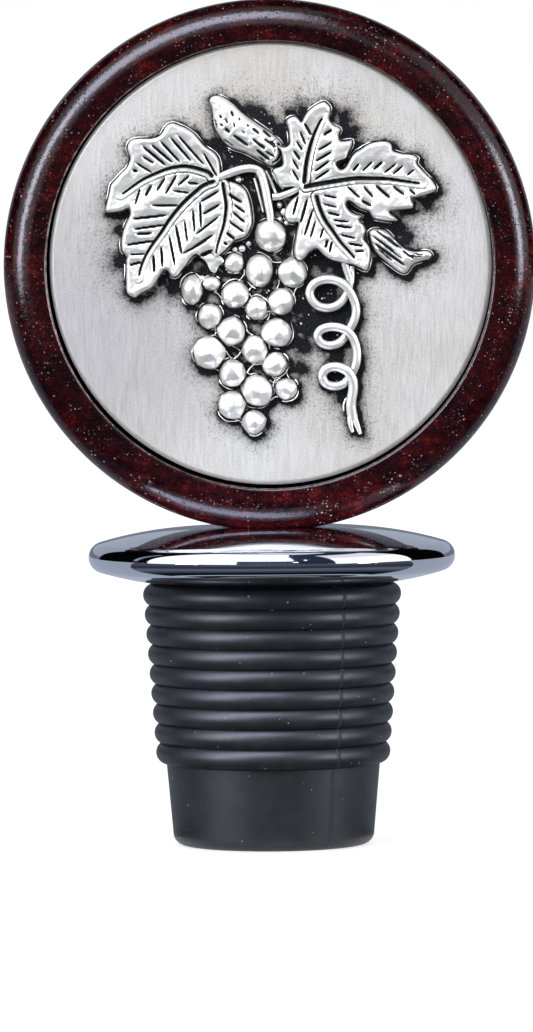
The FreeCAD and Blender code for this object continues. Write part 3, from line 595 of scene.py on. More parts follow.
leftLeaf = {
    "outline": [
        (218, 180), (217, 162), (212, 153), (202, 146), (193, 135), (185, 129), (178, 126), (170.6, 123.5),
        (164, 126), (160, 133), (156.5, 136.5), (150, 138.7), (134, 139), (128, 141.4), (125.6, 146),
        (125.6, 151), (127.8, 157), (127.8, 161), (124, 168.5), (117.5, 175), (112, 181.5), (109, 185),
        (106.7, 195.6), (103.4, 210.8), (110, 212.4), (119.7, 210.8), (126, 208), (127.8, 214), (125, 220.5),
        (121.3, 230), (119.7, 238), (119.7, 250), (124.5, 257), (124, 262), (124, 283), (125, 293),
        (132.7, 297.4), (138, 293), (146.8, 288.8), (152, 284.4), (156.5, 276.8), (160.8, 270.3),
        (165, 270.3), (169.5, 276.8), (175, 275.8), (179, 270.3), (183.6, 265), (188, 258.4), (193, 254),
        (198.8, 256), (207.4, 252), (212.8, 257.3), (218, 254), (222.6, 249.8), (228, 244.3), (232.3, 240),
        (242, 236.8), (246.4, 231.3), (249.7, 220.5), (248.6, 209.7), (246.4, 198.8), (243, 190),
        (236.7, 184.8), (228, 181.5), (220.4, 179.3),
    ],
    # Main veins from the stalk to the tip, with the groove's width; the thin rib lies at ribSide
    "mainVeins": [
        {"width": 0.36, "ribSide": 1, "points": [
            (209.6, 176), (206, 172), (195.5, 168.5), (184.7, 166.3), (173.8, 166.9), (163, 169.6),
            (150, 175), (139, 180.4), (128.3, 188), (118.6, 195)]},
        {"width": 0.36, "ribSide": 1, "points": [
            (210.7, 181.5), (201, 185.3), (192.3, 192.3), (182.5, 201), (173.8, 210.8), (166.3, 220.5),
            (158.7, 232.4), (150, 244.3), (143.5, 255), (139, 266), (136, 278)]},
        {"width": 0.3, "ribSide": 1, "points": [
            (220.4, 183.7), (222.6, 196.7), (223.7, 207.5), (221.5, 223.8), (218.3, 234.6), (215, 245.4),
            (213.4, 255)]},
    ],
    "sideVeins": [
        (175.5, 135.5, 202, 165.3), (168, 137.6, 189, 161.5), (158, 141.4, 178, 162.5),
        (149, 144.7, 170.6, 163), (140.3, 146.3, 164, 165.8), (140.3, 156.6, 152, 163.6),
        (133.8, 163, 150, 172.8), (130.5, 170, 135.4, 171.8), (201, 153, 215, 177),
        (138, 189, 132.7, 205), (149.5, 184.8, 143, 196.7), (163, 177.7, 154.3, 191.3),
        (174.4, 175, 163, 194.5), (187.4, 175.5, 175.5, 185.8), (185, 182.6, 196.6, 184.2),
        (170.6, 190.7, 186.8, 192.9), (149.5, 205.3, 176, 205.3), (130.5, 219, 165, 215),
        (131.6, 229.2, 163, 224.8), (134, 234, 150, 233), (124, 245, 152, 240.6),
        (127.3, 254.6, 142.4, 253.6), (127.3, 265, 139, 262), (197.7, 201.5, 198.8, 228),
        (190.6, 209.7, 192.3, 232.4), (182, 220.5, 185, 242), (173.3, 224.8, 179.3, 254),
        (166.8, 235.7, 172.8, 266), (158.7, 246.5, 160.3, 267), (151, 255, 152, 272.5),
        (198, 202, 217, 190.7), (200.4, 214.5, 217.7, 204.3), (193.3, 234.6, 217, 216.2),
        (190, 248, 211, 234.6), (180, 254, 205, 240), (197.7, 254.6, 210.7, 249.8),
        (225.8, 194, 240, 203), (231.3, 204.3, 243, 213), (230, 211.8, 243, 223),
        (227, 221.6, 242, 232.4), (223.7, 232.4, 232.3, 239), (221.5, 242, 224.8, 245.4),
    ],
    "seed": 3,
}

rightLeaf = {
    "outline": [
        (292.5, 187), (278.4, 187.5), (274, 180), (270.3, 170), (279.5, 165.8), (280, 159.3), (278, 150.7),
        (273, 144.7), (281.7, 147.4), (287, 144), (287, 137.7), (286, 129), (283.8, 121.4), (288.2, 117.6),
        (293.6, 117), (296.8, 120.3), (299, 122.5), (302.3, 116), (307.7, 109.5), (316.3, 104),
        (321.8, 102.5), (326.6, 106.3), (327.7, 111.7), (326.6, 119.3), (330.4, 124.7), (335.8, 127.4),
        (338, 130), (335.8, 135.5), (338, 141), (344.5, 141), (349.4, 140.4), (348.8, 146.3),
        (345.6, 152.8), (343.4, 158.3), (333.7, 162.6), (337, 169), (342.3, 168), (350, 155),
        (357.5, 149.6), (366.2, 144.2), (374.8, 142), (384.6, 142), (389, 145.3), (390, 150.7),
        (399.8, 154), (409.5, 155), (415, 158.3), (413.8, 163.7), (422.5, 173.4), (429, 180),
        (433.3, 187.5), (431.2, 191.8), (422.5, 195), (415, 196.7), (408.4, 198.3), (410.6, 203.8),
        (409.5, 208), (400.8, 209.2), (390, 210.3), (386.8, 212.4), (395.4, 220), (387.8, 221), (378, 220),
        (370.5, 217.8), (366.2, 211.3), (357.5, 208), (350, 202.7), (345.6, 200.5), (343.4, 204.8),
        (347.8, 211.3), (354.3, 214.6), (359.7, 215.7), (356.4, 220), (360.8, 224.3), (363, 230.8),
        (360.8, 238.4), (365, 243.8), (367.8, 250.3), (367.3, 261.2), (364, 270.4), (357.5, 267.7),
        (350, 264.4), (339, 262.3), (329.3, 260), (320.7, 254.7), (314.2, 248.2), (306.6, 252.5),
        (302.3, 258), (295.8, 260), (291.4, 252.5), (292.5, 241.7), (294.7, 230.8), (295.8, 222.2),
        (290.3, 222.7), (285, 221), (281.7, 214.6), (283.8, 207), (289.3, 199.4), (295.8, 194),
    ],
    "mainVeins": [
        {"width": 0.38, "ribSide": -1, "points": [
            (301.7, 182), (303.3, 165.8), (306.6, 149.6), (311, 135.5), (316.3, 123.6), (320, 117.6)]},
        {"width": 0.44, "ribSide": -1, "points": [
            (303.3, 186.4), (314.2, 184.3), (327.2, 182), (340.2, 180), (353.2, 178.3), (368.3, 178.3),
            (384.6, 178.8), (400.8, 181), (419.3, 183.7)]},
        {"width": 0.36, "ribSide": -1, "points": [
            (314.2, 196.7), (317.4, 208), (322.8, 220), (330.4, 230.8), (338, 241.7), (346.7, 251.4),
            (353.2, 259)]},
    ],
    "sideVeins": [
        (297.4, 131.7, 303.3, 145.3), (301.7, 123.6, 308.8, 135.5), (294, 141.5, 300, 150.7),
        (291, 150.7, 298, 160.4), (289.8, 159.3, 296.3, 170), (289.8, 170, 296.3, 181),
        (329.3, 130, 320.7, 135.5), (329.3, 142.5, 315.3, 150.7), (329.3, 151.8, 313, 161.5),
        (327, 161, 312, 171.8), (327, 170, 312, 180), (356.4, 163.7, 350, 171.3),
        (370, 161.5, 359.7, 171.3), (380.3, 161.5, 370.5, 170), (393.3, 163.7, 381.3, 173.4),
        (400.3, 165.8, 390, 174.5), (411.7, 169.6, 404, 175.6), (344.5, 186.4, 357.5, 198.3),
        (360.8, 186.4, 371, 198), (372.7, 185.3, 387.8, 198.3), (390, 186.4, 402, 195),
        (406.3, 189, 412.8, 195), (320.7, 195, 334.8, 198.3), (358.6, 200.5, 368.9, 206),
        (320.7, 203.8, 334.8, 207.6), (325, 212.4, 337.5, 215.7), (330.4, 220, 346.7, 222),
        (332.6, 225.4, 350, 228), (338, 234.6, 353, 238.4), (345.6, 243.3, 360.8, 246),
        (352, 251.4, 361.8, 251), (295.8, 196, 290.3, 215.7), (305, 198.3, 298, 223.3),
        (310.4, 209, 301.7, 236.3), (313, 221, 307.7, 238.4), (320.7, 228.7, 317.4, 238.4),
        (325, 239.5, 322.8, 248), (329.3, 241.7, 327, 252.5),
    ],
    "seed": 8,
}

leafForm = {
    "height": 1.0,          # mm above the field
    "wall": 0.5,            # edge of the leaf above the field
    "edgeRound": 0.26,
    "pillow": 0.18,         # bulge between the main veins
    "pillowReach": 1.3,
    "mainDepth": 0.36,
    "sideDepth": 0.26,
    "sideWidth": 0.22,
    "runOut": 0.07,         # share of its length by which a side vein's groove fades out past its ends
    "burr": 0.022,          # raised along both sides of a groove
    "ribOffset": 0.3,       # thin rib beside a main vein's groove
    "ribWidth": 0.16,
    "ribHeight": 0.12,
    "thinDepth": 0.14,      # fine line on the far side of the rib
    "thinWidth": 0.12,
    "troughShare": 0.42,    # soft trough round each groove, so that the surface swells between them
    "troughWidth": 3.2,     # against the groove's own width
    "lumps": 0.035,
}

# Canes: pruned lengths with bark, rounder than the leaves. A fifth number is a groove's own width.
cane = {
    "outline": [
        (209, 97.5), (214, 95.8), (219.5, 97), (225, 100), (231.6, 105), (237, 110.5), (243, 115.5),
        (253.6, 123), (266, 131.5), (275.6, 139), (279.5, 145), (281, 151), (279.5, 158), (275, 163.5),
        (268.5, 166.5), (261, 162.5), (251.7, 157), (241, 152), (233, 149.5), (227.5, 147), (222, 142.5),
        (217, 136), (213.5, 130), (211.5, 124), (210.5, 114), (209, 106), (207, 101.5),
    ],
    "mainVeins": [
        {"width": 0.24, "ribSide": -1, "points": [
            (276, 144), (278.2, 149), (278, 155), (274.5, 160), (269, 163.2)]},
    ],
    "sideVeins": [
        (230.6, 135, 246, 146, 0.26), (249.8, 128.3, 257, 134, 0.2), (260.3, 130.2, 268.5, 137.3, 0.2),
        (249.8, 138.8, 262.8, 149.6, 0.2), (261.2, 138.8, 274, 147.6, 0.18),
        (253.6, 149.3, 267.5, 160.3, 0.22), (263.2, 151.2, 272.2, 157.3, 0.24),
        (257.5, 143.5, 263, 148.5, 0.14), (244, 124.5, 247, 127, 0.14),
        (228, 111.5, 231.4, 116.8, 0.2), (217.5, 115.5, 219, 119, 0.16), (222.8, 118.8, 225.4, 123.6, 0.18),
        (230.8, 123.5, 232.8, 128, 0.16), (222.6, 128.5, 227.6, 133, 0.3), (218.6, 124, 220.4, 127, 0.15),
        (236, 118, 238.5, 121, 0.12), (239, 131, 243, 134, 0.12), (221, 139, 231, 146, 0.12),
        (212.5, 119, 215, 129, 0.12), (268, 141, 273, 145, 0.12), (256, 156.5, 262, 161, 0.12),
    ],
    "seed": 5,
}

spur = {
    "outline": [
        (366, 232), (371.5, 228.7), (378, 229.3), (383.5, 230.8), (389, 236), (394.5, 242), (400, 247),
        (406, 250.3), (414, 251.6), (421.5, 250.8), (426.5, 251.5), (429.3, 254.5), (427.5, 258),
        (421, 260.2), (414, 262.3), (409.5, 265), (406, 270), (402.5, 273), (397, 271.5), (390, 266.5),
        (383, 261), (377, 256), (371.5, 249.5), (368.5, 243), (366.5, 237),
    ],
    "mainVeins": [],
    "sideVeins": [
        (373.5, 230, 396, 247.5, 0.2), (370, 236, 392, 251.5, 0.2), (371.5, 243, 402.5, 265.5, 0.22),
        (399.5, 250, 411, 258.5, 0.18), (384, 236, 399, 248.5, 0.12), (379, 243.5, 400, 259, 0.12),
        (404, 255, 420, 257, 0.12), (411, 253.5, 421, 254.5, 0.1), (376, 249.5, 390, 261, 0.12),
    ],
    "seed": 11,
}

leafTip = {
    "outline": [
        (197.5, 256.5), (203, 255.5), (207, 252.8), (213.5, 254), (219, 257), (221.5, 261.5), (216.5, 265.5),
        (213.5, 272), (208.5, 271), (205.5, 265.5), (203, 261),
    ],
    "mainVeins": [],
    "sideVeins": [],
    "seed": 14,
}

caneForm = dict(leafForm, height=0.98, wall=0.2, edgeRound=1.15, pillow=0, mainDepth=0.3, sideDepth=0.17,
                ribHeight=0.14, troughShare=0.3, lumps=0.07)
spurForm = dict(caneForm, height=0.8, edgeRound=0.8, lumps=0.06)
tipForm = dict(leafForm, height=0.62, edgeRound=0.45, pillow=0)

ledge = {
    "gap": 0.12,            # mm from the form's wall
    "radius": 0.045,
    "gapWander": 0.05,
    "wander": 0.3,          # mm up and down, so that it shows in some places only
}


def newReliefMesh():
    bm = bmesh.new()
    for name in ("hollow", "away", "relief"):
        bm.verts.layers.float.new(name)
    return bm


# Cuts a flat face into a fine grid, so that it can be shaped.
def gridCut(bm, spacing):
    for axis in (0, 1):
        low = min(vert.co[axis] for vert in bm.verts)
        high = max(vert.co[axis] for vert in bm.verts)
        at = (math.floor(low / spacing) + 1) * spacing
        while at < high:
            place, normal = [0, 0, 0], [0, 0, 0]
            place[axis], normal[axis] = at, 1
            cutPlane(bm, place, normal, keep=True)
            at += spacing


# Walls from the open edge down into the field, and a bottom.
def closeDown(bm, level):
    for vert in extrudeRim(bm):
        vert.co.z = level
    closeRim(bm)


# 1 on the floor of a boat-shaped groove with pointed ends, 0 outside.
def grooveShare(places, start, end, width, ring=0.0):
    distance, share = toSegment(places, start, end)
    taper = 1 - np.abs(2 * share - 1) ** 3.5
    return taper * np.exp(-((distance - ring) / (width / 2)) ** 2)


def makeLeaf(leaf, form):
    outline = photoLine(leaf["outline"], closed=True)
    bm = newReliefMesh()
    bm.faces.new([bm.verts.new((p.x, p.y, 0)) for p in outline])
    bmesh.ops.recalc_face_normals(bm, faces=bm.faces[:])
    gridCut(bm, medallion["leafGrid"])
    places = np.array([(vert.co.x, vert.co.y) for vert in bm.verts])
    toEdge = np.full(len(places), farAway)
    for a, b in zip(outline, outline[1:] + outline[:1]):
        toEdge = np.minimum(toEdge, toSegment(places, a, b)[0])
    rounding = np.sqrt(1 - (1 - np.clip(toEdge / form["edgeRound"], 0, 1)) ** 2)
    height = form["wall"] + (form["height"] - form["wall"]) * rounding
    hollow = np.zeros(len(places))
    cut = np.zeros(len(places))
    toVein = np.full(len(places), farAway)
    for vein in leaf["mainVeins"]:
        line = photoLine(vein["points"])
        distance, side, along = toLine(places, line)
        toVein = np.minimum(toVein, distance)
        narrowing = 1 - 0.55 * along ** 2
        share = np.exp(-(distance / (vein["width"] * narrowing / 2)) ** 2) * (1 - softStep(along, 0.97, 1.0))
        cut = np.maximum(cut, share * form["mainDepth"])
        hollow = np.maximum(hollow, softStep(share, 0.3, 0.7))
        fromRib = distance * side * vein["ribSide"] - form["ribOffset"]
        rib = np.exp(-(fromRib / (form["ribWidth"] / 2)) ** 2)
        height = height + form["ribHeight"] * rib * (1 - along * 0.6)
        thin = np.exp(-((fromRib - form["ribWidth"]) / (form["thinWidth"] / 2)) ** 2) * (1 - along * 0.5)
        cut = np.maximum(cut, thin * form["thinDepth"])
        hollow = np.maximum(hollow, softStep(thin, 0.35, 0.8))
    height = height + form["pillow"] * (1 - np.exp(-(toVein / form["pillowReach"]) ** 2)) * rounding
    chance = random.Random(leaf["seed"])
    for x1, y1, x2, y2, *given in leaf["sideVeins"]:
        width = (given[0] if given else form["sideWidth"]) * chance.uniform(0.85, 1.25)
        first, last = fromPhoto(x1, y1), fromPhoto(x2, y2)
        first, last = first.lerp(last, -form["runOut"]), last.lerp(first, -form["runOut"])
        share = grooveShare(places, first, last, width)
        trough = grooveShare(places, first, last, width * form["troughWidth"]) * form["troughShare"]
        cut = np.maximum(cut, np.maximum(share, trough) * form["sideDepth"])
        hollow = np.maximum(hollow, softStep(share, 0.22, 0.6))
        height = height + form["burr"] * grooveShare(places, first, last, width * 0.7, ring=width * 0.95)
    darkness = bm.verts.layers.float["hollow"]
    for vert, level, dark in zip(bm.verts, height - cut, hollow):
        place = vert.co + Vector((leaf["seed"], 0, 0))
        vert.co.z = level + form["lumps"] * (noise.noise(place * 1.4) + 0.5 * noise.noise(place * 3.3))
        vert[darkness] = dark
    closeDown(bm, medallion["foot"])
    print("leaf shaped,", len(bm.faces), "faces")
    return bm


# A thin line of flash that the casting has round a form.
def makeLedge(leaf):
    outline = photoLine(leaf["outline"], closed=True, steps=2)
    area = sum(a.x * b.y - b.x * a.y for a, b in zip(outline, outline[1:] + outline[:1]))
    outwards = 1 if area > 0 else -1
    path = []
    for before, place, after in zip(outline[-1:] + outline, outline, outline[1:] + outline[:1]):
        along = (after - before).normalized() * outwards
        shift = ledge["gap"] + ledge["gapWander"] * noise.noise(Vector((*place, leaf["seed"])) * 1.1)
        path.append((place.x + along.y * shift, place.y - along.x * shift,
                     ledge["wander"] * noise.noise(Vector((*place, 4.0)) * 0.9)))
    bm = newReliefMesh()
    addTube(bm, path, ledge["radius"], closed=True)
    return bm


# Grapes: across, up, half width, half height in pixels of the photo
bunch = {
    "grapes": [
        (268.4, 235, 16.6, 16.6), (231.7, 262.4, 10.3, 9.8), (256.6, 270.4, 13.9, 16.9),
        (289.5, 272.3, 14.6, 15.2), (189.5, 289.5, 11, 15.7), (208.7, 283.5, 9, 7.5),
        (233, 294.3, 13.9, 14.2), (253.7, 307.7, 11.4, 12), (278.6, 301.4, 13.2, 13.9),
        (207.4, 315.7, 12.6, 13.2), (228.8, 331, 14.6, 15.2), (274.1, 332.6, 16, 14.7),
        (207, 352.5, 16.4, 17.2), (252.1, 349, 13.4, 14.6), (272.2, 364, 12.8, 12.6),
        (230, 373, 14, 14.8), (254.7, 390.8, 16.2, 16.6), (283.7, 388.6, 11.5, 11.3),
        (229.4, 404.9, 14.6, 15.2), (251.4, 421.5, 12.6, 12.8), (235.8, 179.8, 3.6, 3.6),
        (239.5, 248.5, 3.8, 3.6), (246, 243.5, 2.8, 2.8), (232.5, 249.5, 3, 2.8), (199.5, 278.5, 3.4, 3.4),
        (277, 205, 3, 3.4), (281.5, 212, 3.8, 4), (277.5, 219.5, 3, 3), (284, 223, 2.6, 2.6),
    ],
    "small": 8.5,            # pixels of half width up to which a grape is only a bead
    "dents": 0.07,           # how far the hammered facets stand in and out
    "level": 0.1,            # mm from the field to a grape's middle
    "foot": -0.2,
    "collarGap": 0.075,      # mm from a grape to the short ledges of flash round it
    "collarSpans": ((1.2, 1.9), (0.35, 0.9), (0.35, 0.9)),   # radians: an outer one and two short ones
    "collarPlaces": ((-0.3, 0.3), (1.4, 4.9), (1.4, 4.9)),   # radians from outwards
    "collarRadius": 0.05,
    "collarLevel": 0.16,
    "middle": (245, 330),
    "webGap": 0.35,          # mm between grapes that a web still joins
    "webRadius": 0.06,
    "webSag": 0.06,
    "webLevels": (0.02, 0.2),
    "webShare": 0.6,         # of the places where a web could be
    "crumbSizes": (0.05, 0.11),
    # bright specks in the black: across, down, spread in pixels, how many
    "crumbs": [
        (243, 246, 8, 4), (200, 277, 8, 4), (272, 251, 8, 4), (283, 215, 8, 4), (236, 181, 5, 2),
        (216, 268, 8, 4), (246, 283, 5, 3), (268, 289, 5, 3), (292, 255, 5, 3), (242, 320, 5, 3),
        (221, 311, 4, 2), (262, 320, 5, 3), (240, 352, 4, 2), (262, 376, 4, 2), (242, 400, 4, 2),
        (326, 293, 8, 5), (330, 336, 6, 3), (333, 376, 5, 2), (345, 262, 5, 3), (352, 270, 4, 2),
        (303, 290, 9, 4), (308, 250, 8, 4), (232, 157, 8, 4), (262, 120, 10, 5),
        (300, 318, 8, 3), (255, 185, 7, 4), (274, 190, 4, 2), (390, 218, 8, 3),
    ],
}


def makeGrape(x, y, across, up, number):
    bm = newReliefMesh()
    bmesh.ops.create_icosphere(bm, subdivisions=2, radius=1)
    chance = random.Random(number * 7 + 1)
    turn = Matrix.Rotation(chance.uniform(0, 6), 4, Vector((chance.random(), chance.random(), 1)))
    bmesh.ops.transform(bm, matrix=turn, verts=bm.verts[:])
    for vert in bm.verts:
        vert.co *= 1.015 + chance.uniform(-1, 1) * bunch["dents"]
    cuts = 4 if across > bunch["small"] else 2
    bmesh.ops.subdivide_edges(bm, edges=bm.edges[:], cuts=cuts, use_grid_fill=True)
    bmesh.ops.smooth_vert(bm, verts=bm.verts[:], factor=0.5, use_axis_x=True, use_axis_y=True,
                          use_axis_z=True)
    half = Vector((across, up, (across + up) / 2)) / photo["facePixelsPerMm"]
    bmesh.ops.scale(bm, vec=half, verts=bm.verts[:])
    bmesh.ops.translate(bm, vec=(*fromPhoto(x, y), bunch["level"]), verts=bm.verts[:])
    cutPlane(bm, (0, 0, bunch["foot"]), (0, 0, -1))
    closeRim(bm)
    return bm


# Short, broken ledges that the casting has round a grape, longest on the bunch's outside
def makeCollar(x, y, across, up, number):
    bm = newReliefMesh()
    chance = random.Random(number * 13 + 5)
    middle = fromPhoto(x, y)
    apart = middle - fromPhoto(*bunch["middle"])
    outwards = math.atan2(apart.y, apart.x)
    arcs = [(outwards + chance.uniform(*place), chance.uniform(*span))
            for place, span in zip(bunch["collarPlaces"], bunch["collarSpans"])]
    for towards, span in arcs:
        path = []
        for i in range(17):
            angle = towards + span * (i / 16 - 0.5)
            wander = noise.noise(Vector((math.cos(angle) * 1.5 + x, math.sin(angle) * 1.5 + y, 0)))
            gap = bunch["collarGap"] + 0.09 * wander
            path.append((middle.x + (across / photo["facePixelsPerMm"] + gap) * math.cos(angle),
                         middle.y + (up / photo["facePixelsPerMm"] + gap) * math.sin(angle),
                         bunch["collarLevel"] + 0.35 * wander))
        addTube(bm, path, bunch["collarRadius"] * chance.uniform(0.8, 1.3),
                taper=lambda share: max(0.15, 1 - abs(2 * share - 1) ** 4))
    return bm


# Thin fins that join neighbouring grapes on both sides of where they meet
def makeWebs():
    bm = newReliefMesh()
    chance = random.Random(23)
    big = [(fromPhoto(x, y), (across + up) / 2 / photo["facePixelsPerMm"])
           for x, y, across, up in bunch["grapes"] if across > bunch["small"]]
    for number, (first, firstRadius) in enumerate(big):
        for second, secondRadius in big[number + 1:]:
            line = second - first
            if line.length - firstRadius - secondRadius > bunch["webGap"]:
                continue
            towards = math.atan2(line.y, line.x)
            for way in (-1, 1):
                if chance.random() > bunch["webShare"]:
                    continue
                swing = way * chance.uniform(0.5, 0.85)
                leave, arrive = towards + swing, towards + math.pi - swing
                start = first + Vector((math.cos(leave), math.sin(leave))) * firstRadius
                end = second + Vector((math.cos(arrive), math.sin(arrive))) * secondRadius
                level = chance.uniform(*bunch["webLevels"])
                sag = line.normalized().orthogonal() * way * -bunch["webSag"]
                path = [(*(start.lerp(end, i / 6) + sag * math.sin(math.pi * i / 6)), level) for i in range(7)]
                addTube(bm, path, bunch["webRadius"] * chance.uniform(0.8, 1.4),
                        taper=lambda share: 0.55 + 0.45 * abs(2 * share - 1))
    return bm


def makeCrumbs():
    bm = newReliefMesh()
    chance = random.Random(41)
    for x, y, spread, count in bunch["crumbs"]:
        for one in range(count):
            middle = fromPhoto(x + chance.uniform(-spread, spread), y + chance.uniform(-spread, spread))
            size = chance.uniform(*bunch["crumbSizes"])
            crumb = Matrix.Translation((middle.x, middle.y, 0.03)) @ Matrix.Rotation(
                chance.uniform(0, 6), 4, "Z") @ Matrix.Diagonal((size, size * chance.uniform(0.5, 1), size, 1))
            bmesh.ops.create_icosphere(bm, subdivisions=1, radius=1, matrix=crumb)
    return bm


# Stalks and the tendril: wires through places of the photo
wires = {
    "leafStalk": {"radius": 0.31, "level": 0.5, "points": [
        (216, 178), (224, 174.5), (232, 171.5), (241, 169), (250, 168.5), (257, 171), (261, 177)]},
    "bunchStalk": {"radius": 0.31, "level": 0.55, "points": [
        (256, 170), (260, 178), (263, 190), (265.5, 203), (267.5, 214), (268, 222)]},
    "thinStalk": {"radius": 0.12, "level": 0.3, "points": [
        (252, 178), (255, 188), (258, 200), (261, 212)]},
    "strand": {"radius": 0.11, "level": 0.42, "points": [(263, 171), (268, 180), (272, 190), (274, 197)]},
    "strandLower": {"radius": 0.1, "level": 0.4, "points": [(270, 172), (275, 182), (281, 189)]},
    "rightStalk": {"radius": 0.26, "level": 0.55, "points": [
        (270, 197), (277, 196.5), (285, 193.5), (293, 190), (301, 187)]},
    "prongRight": {"radius": 0.23, "level": 0.2, "points": [
        (349.5, 402), (350.5, 411), (352.8, 420), (355.8, 428), (358, 434)]},
    "prongLeft": {"radius": 0.22, "level": 0.18, "points": [
        (348.5, 402), (347.8, 411), (347.8, 420), (348.8, 427), (350.5, 432)]},
    "flareLeft": {"radius": 0.09, "level": 0.1, "points": [(344, 398), (341.5, 404), (341.5, 411)]},
    "leafEnd": {"radius": 0.2, "level": 0.3, "points": [(349, 266), (349.5, 275), (349, 284)]},
}

# The tendril is one wire that loops over itself: across, down, and its height above the field in mm
tendril = {
    "radius": 0.33,
    "points": [
        (341, 259, 0.5), (343.5, 268, 0.4), (346.5, 277, 0.3), (346.5, 287, 0.22), (342.5, 297, 0.22),
        (335, 304.8, 0.32), (325, 307.8, 0.36), (314.5, 305, 0.36), (308, 297, 0.4), (307.8, 289, 0.44),
        (313, 282.5, 0.5), (322, 279.3, 0.54), (332, 279.8, 0.58), (341, 284.3, 0.62), (347.5, 292, 0.56),
        (352, 302, 0.46), (353.5, 312, 0.4), (350.8, 322, 0.34), (345.5, 331.5, 0.22), (341.5, 338, 0.22),
        (335.5, 343.3, 0.32), (327, 345.2, 0.36), (318.5, 342.3, 0.36), (315, 336, 0.42), (317.8, 330, 0.48),
        (325, 327, 0.52), (334, 326.8, 0.58), (342, 329.3, 0.62), (349, 335.3, 0.56), (353, 344.5, 0.46),
        (354.5, 354.5, 0.42), (353.3, 364.5, 0.36), (349.5, 373, 0.22), (345.5, 379, 0.22),
        (340.5, 384, 0.32), (332, 386, 0.36), (323.5, 383.3, 0.36), (319.8, 376.5, 0.42), (322.2, 370, 0.48),
        (329.5, 366.6, 0.54), (338, 367.3, 0.6), (345.5, 371.8, 0.62), (350, 380, 0.52), (350.5, 390, 0.42),
        (348.8, 400, 0.34), (348.8, 409, 0.22), (350.5, 418, 0.08),
    ],
}


# A round wire along a line of places in millimetres.
def addTube(bm, line, radius, closed=False, taper=None):
    curve = bpy.data.curves.new("wire", "CURVE")
    curve.dimensions = "3D"
    curve.bevel_depth = radius
    curve.bevel_resolution = 4 if radius > 0.15 else 2
    curve.use_fill_caps = not closed
    spline = curve.splines.new("POLY")
    spline.points.add(len(line) - 1)
    for i, (point, place) in enumerate(zip(spline.points, line)):
        point.co = (*place, 1)
        point.radius = 1 if taper is None else taper(i / (len(line) - 1))
    spline.use_cyclic_u = closed
    holder = bpy.data.objects.new("wire", curve)
    mesh = bpy.data.meshes.new_from_object(holder)
    bm.from_mesh(mesh)
    bpy.data.objects.remove(holder)
    bpy.data.curves.remove(curve)
    bpy.data.meshes.remove(mesh)


def makeWires():
    bm = newReliefMesh()
    for name, wire in wires.items():
        line = smoothLine([fromPhoto(x, y) for x, y in wire["points"]], closed=False, steps=6)
        ends = 0.5 if name.startswith("prong") else 0.85
        path = [(p.x, p.y, wire["level"]) for p in line]
        addTube(bm, path, wire["radius"],
                taper=lambda share, ends=ends: 1 - (1 - ends) * max(0.0, share - 0.6) / 0.4)
    places = [Vector((*fromPhoto(x, y), level)) for x, y, level in tendril["points"]]
    path = [tuple(p) for p in smoothLine(places, closed=False, steps=4)]
    addTube(bm, path, tendril["radius"],
            taper=lambda share: (0.8 + 0.2 * min(1, share * 8)) * (1 + 0.2 * max(0.0, share - 0.75) / 0.25))
    return bm


def appendTo(target, source):
    mesh = bpy.data.meshes.new("part")
    source.to_mesh(mesh)
    source.free()
    target.from_mesh(mesh)
    bpy.data.meshes.remove(mesh)


# Where more black was left on the field: across, down, radius in pixels
darkPlaces = [
    (305, 262, 14), (322, 262, 10), (306, 285, 15), (300, 305, 13), (318, 320, 15), (303, 327, 14),
    (336, 318, 10), (326, 292, 12), (331, 336, 8), (333, 376, 7), (300, 345, 9), (334, 357, 8),
    (340, 396, 6), (299, 368, 5), (345, 310, 8), (232, 158, 10), (224, 150, 7), (241, 160, 7), (214, 143, 4),
    (247, 110, 4), (255, 116, 6), (266, 124, 8), (276, 131, 8), (280, 140, 5), (338, 166, 6), (345, 160, 5),
    (372, 216, 8), (384, 223, 8), (396, 229, 7), (404, 238, 5), (372, 226, 6), (282, 250, 10),
    (340, 270, 8), (174, 287, 8), (184, 275, 8), (300, 110, 3), (290, 114, 4),
    (342, 118, 5), (348, 132, 5), (353, 146, 5), (250, 200, 9), (256, 186, 8), (246, 182, 6), (243, 172, 6),
    (274, 205, 8), (203, 273, 8), (246, 250, 8), (120, 232, 3), (117, 262, 3), (426, 205, 4),
]

shading = {
    "rays": 14,
    "reach": 0.85,          # mm that a neighbour can be away and still shelter a hollow
    "start": 0.42,          # share of sheltered directions from which black stays
    "full": 0.8,
    "steepLimit": 0.6,      # slopes steeper than this keep black too
    "steepShare": 0.75,
    "haloShadowShift": (-0.18, 0.2, 0.1),  # painted shadow: the black is wider below and to the right of each form
    "ground": 0.16,         # mm above the field up to which the black runs up a wall
    "dabShare": 0.45,       # of a dark place's radius is full black
    "dabSpread": 0.55,
}


# Directions spread over a half ball, for a look at how sheltered a place is.
def shelterDirections():
    found = []
    for i in range(shading["rays"]):
        height = (i + 0.5) / shading["rays"]
        angle = i * math.pi * (3 - math.sqrt(5))
        flat = math.sqrt(1 - height * height)
        found.append(Vector((flat * math.cos(angle), flat * math.sin(angle), height)))
    return found


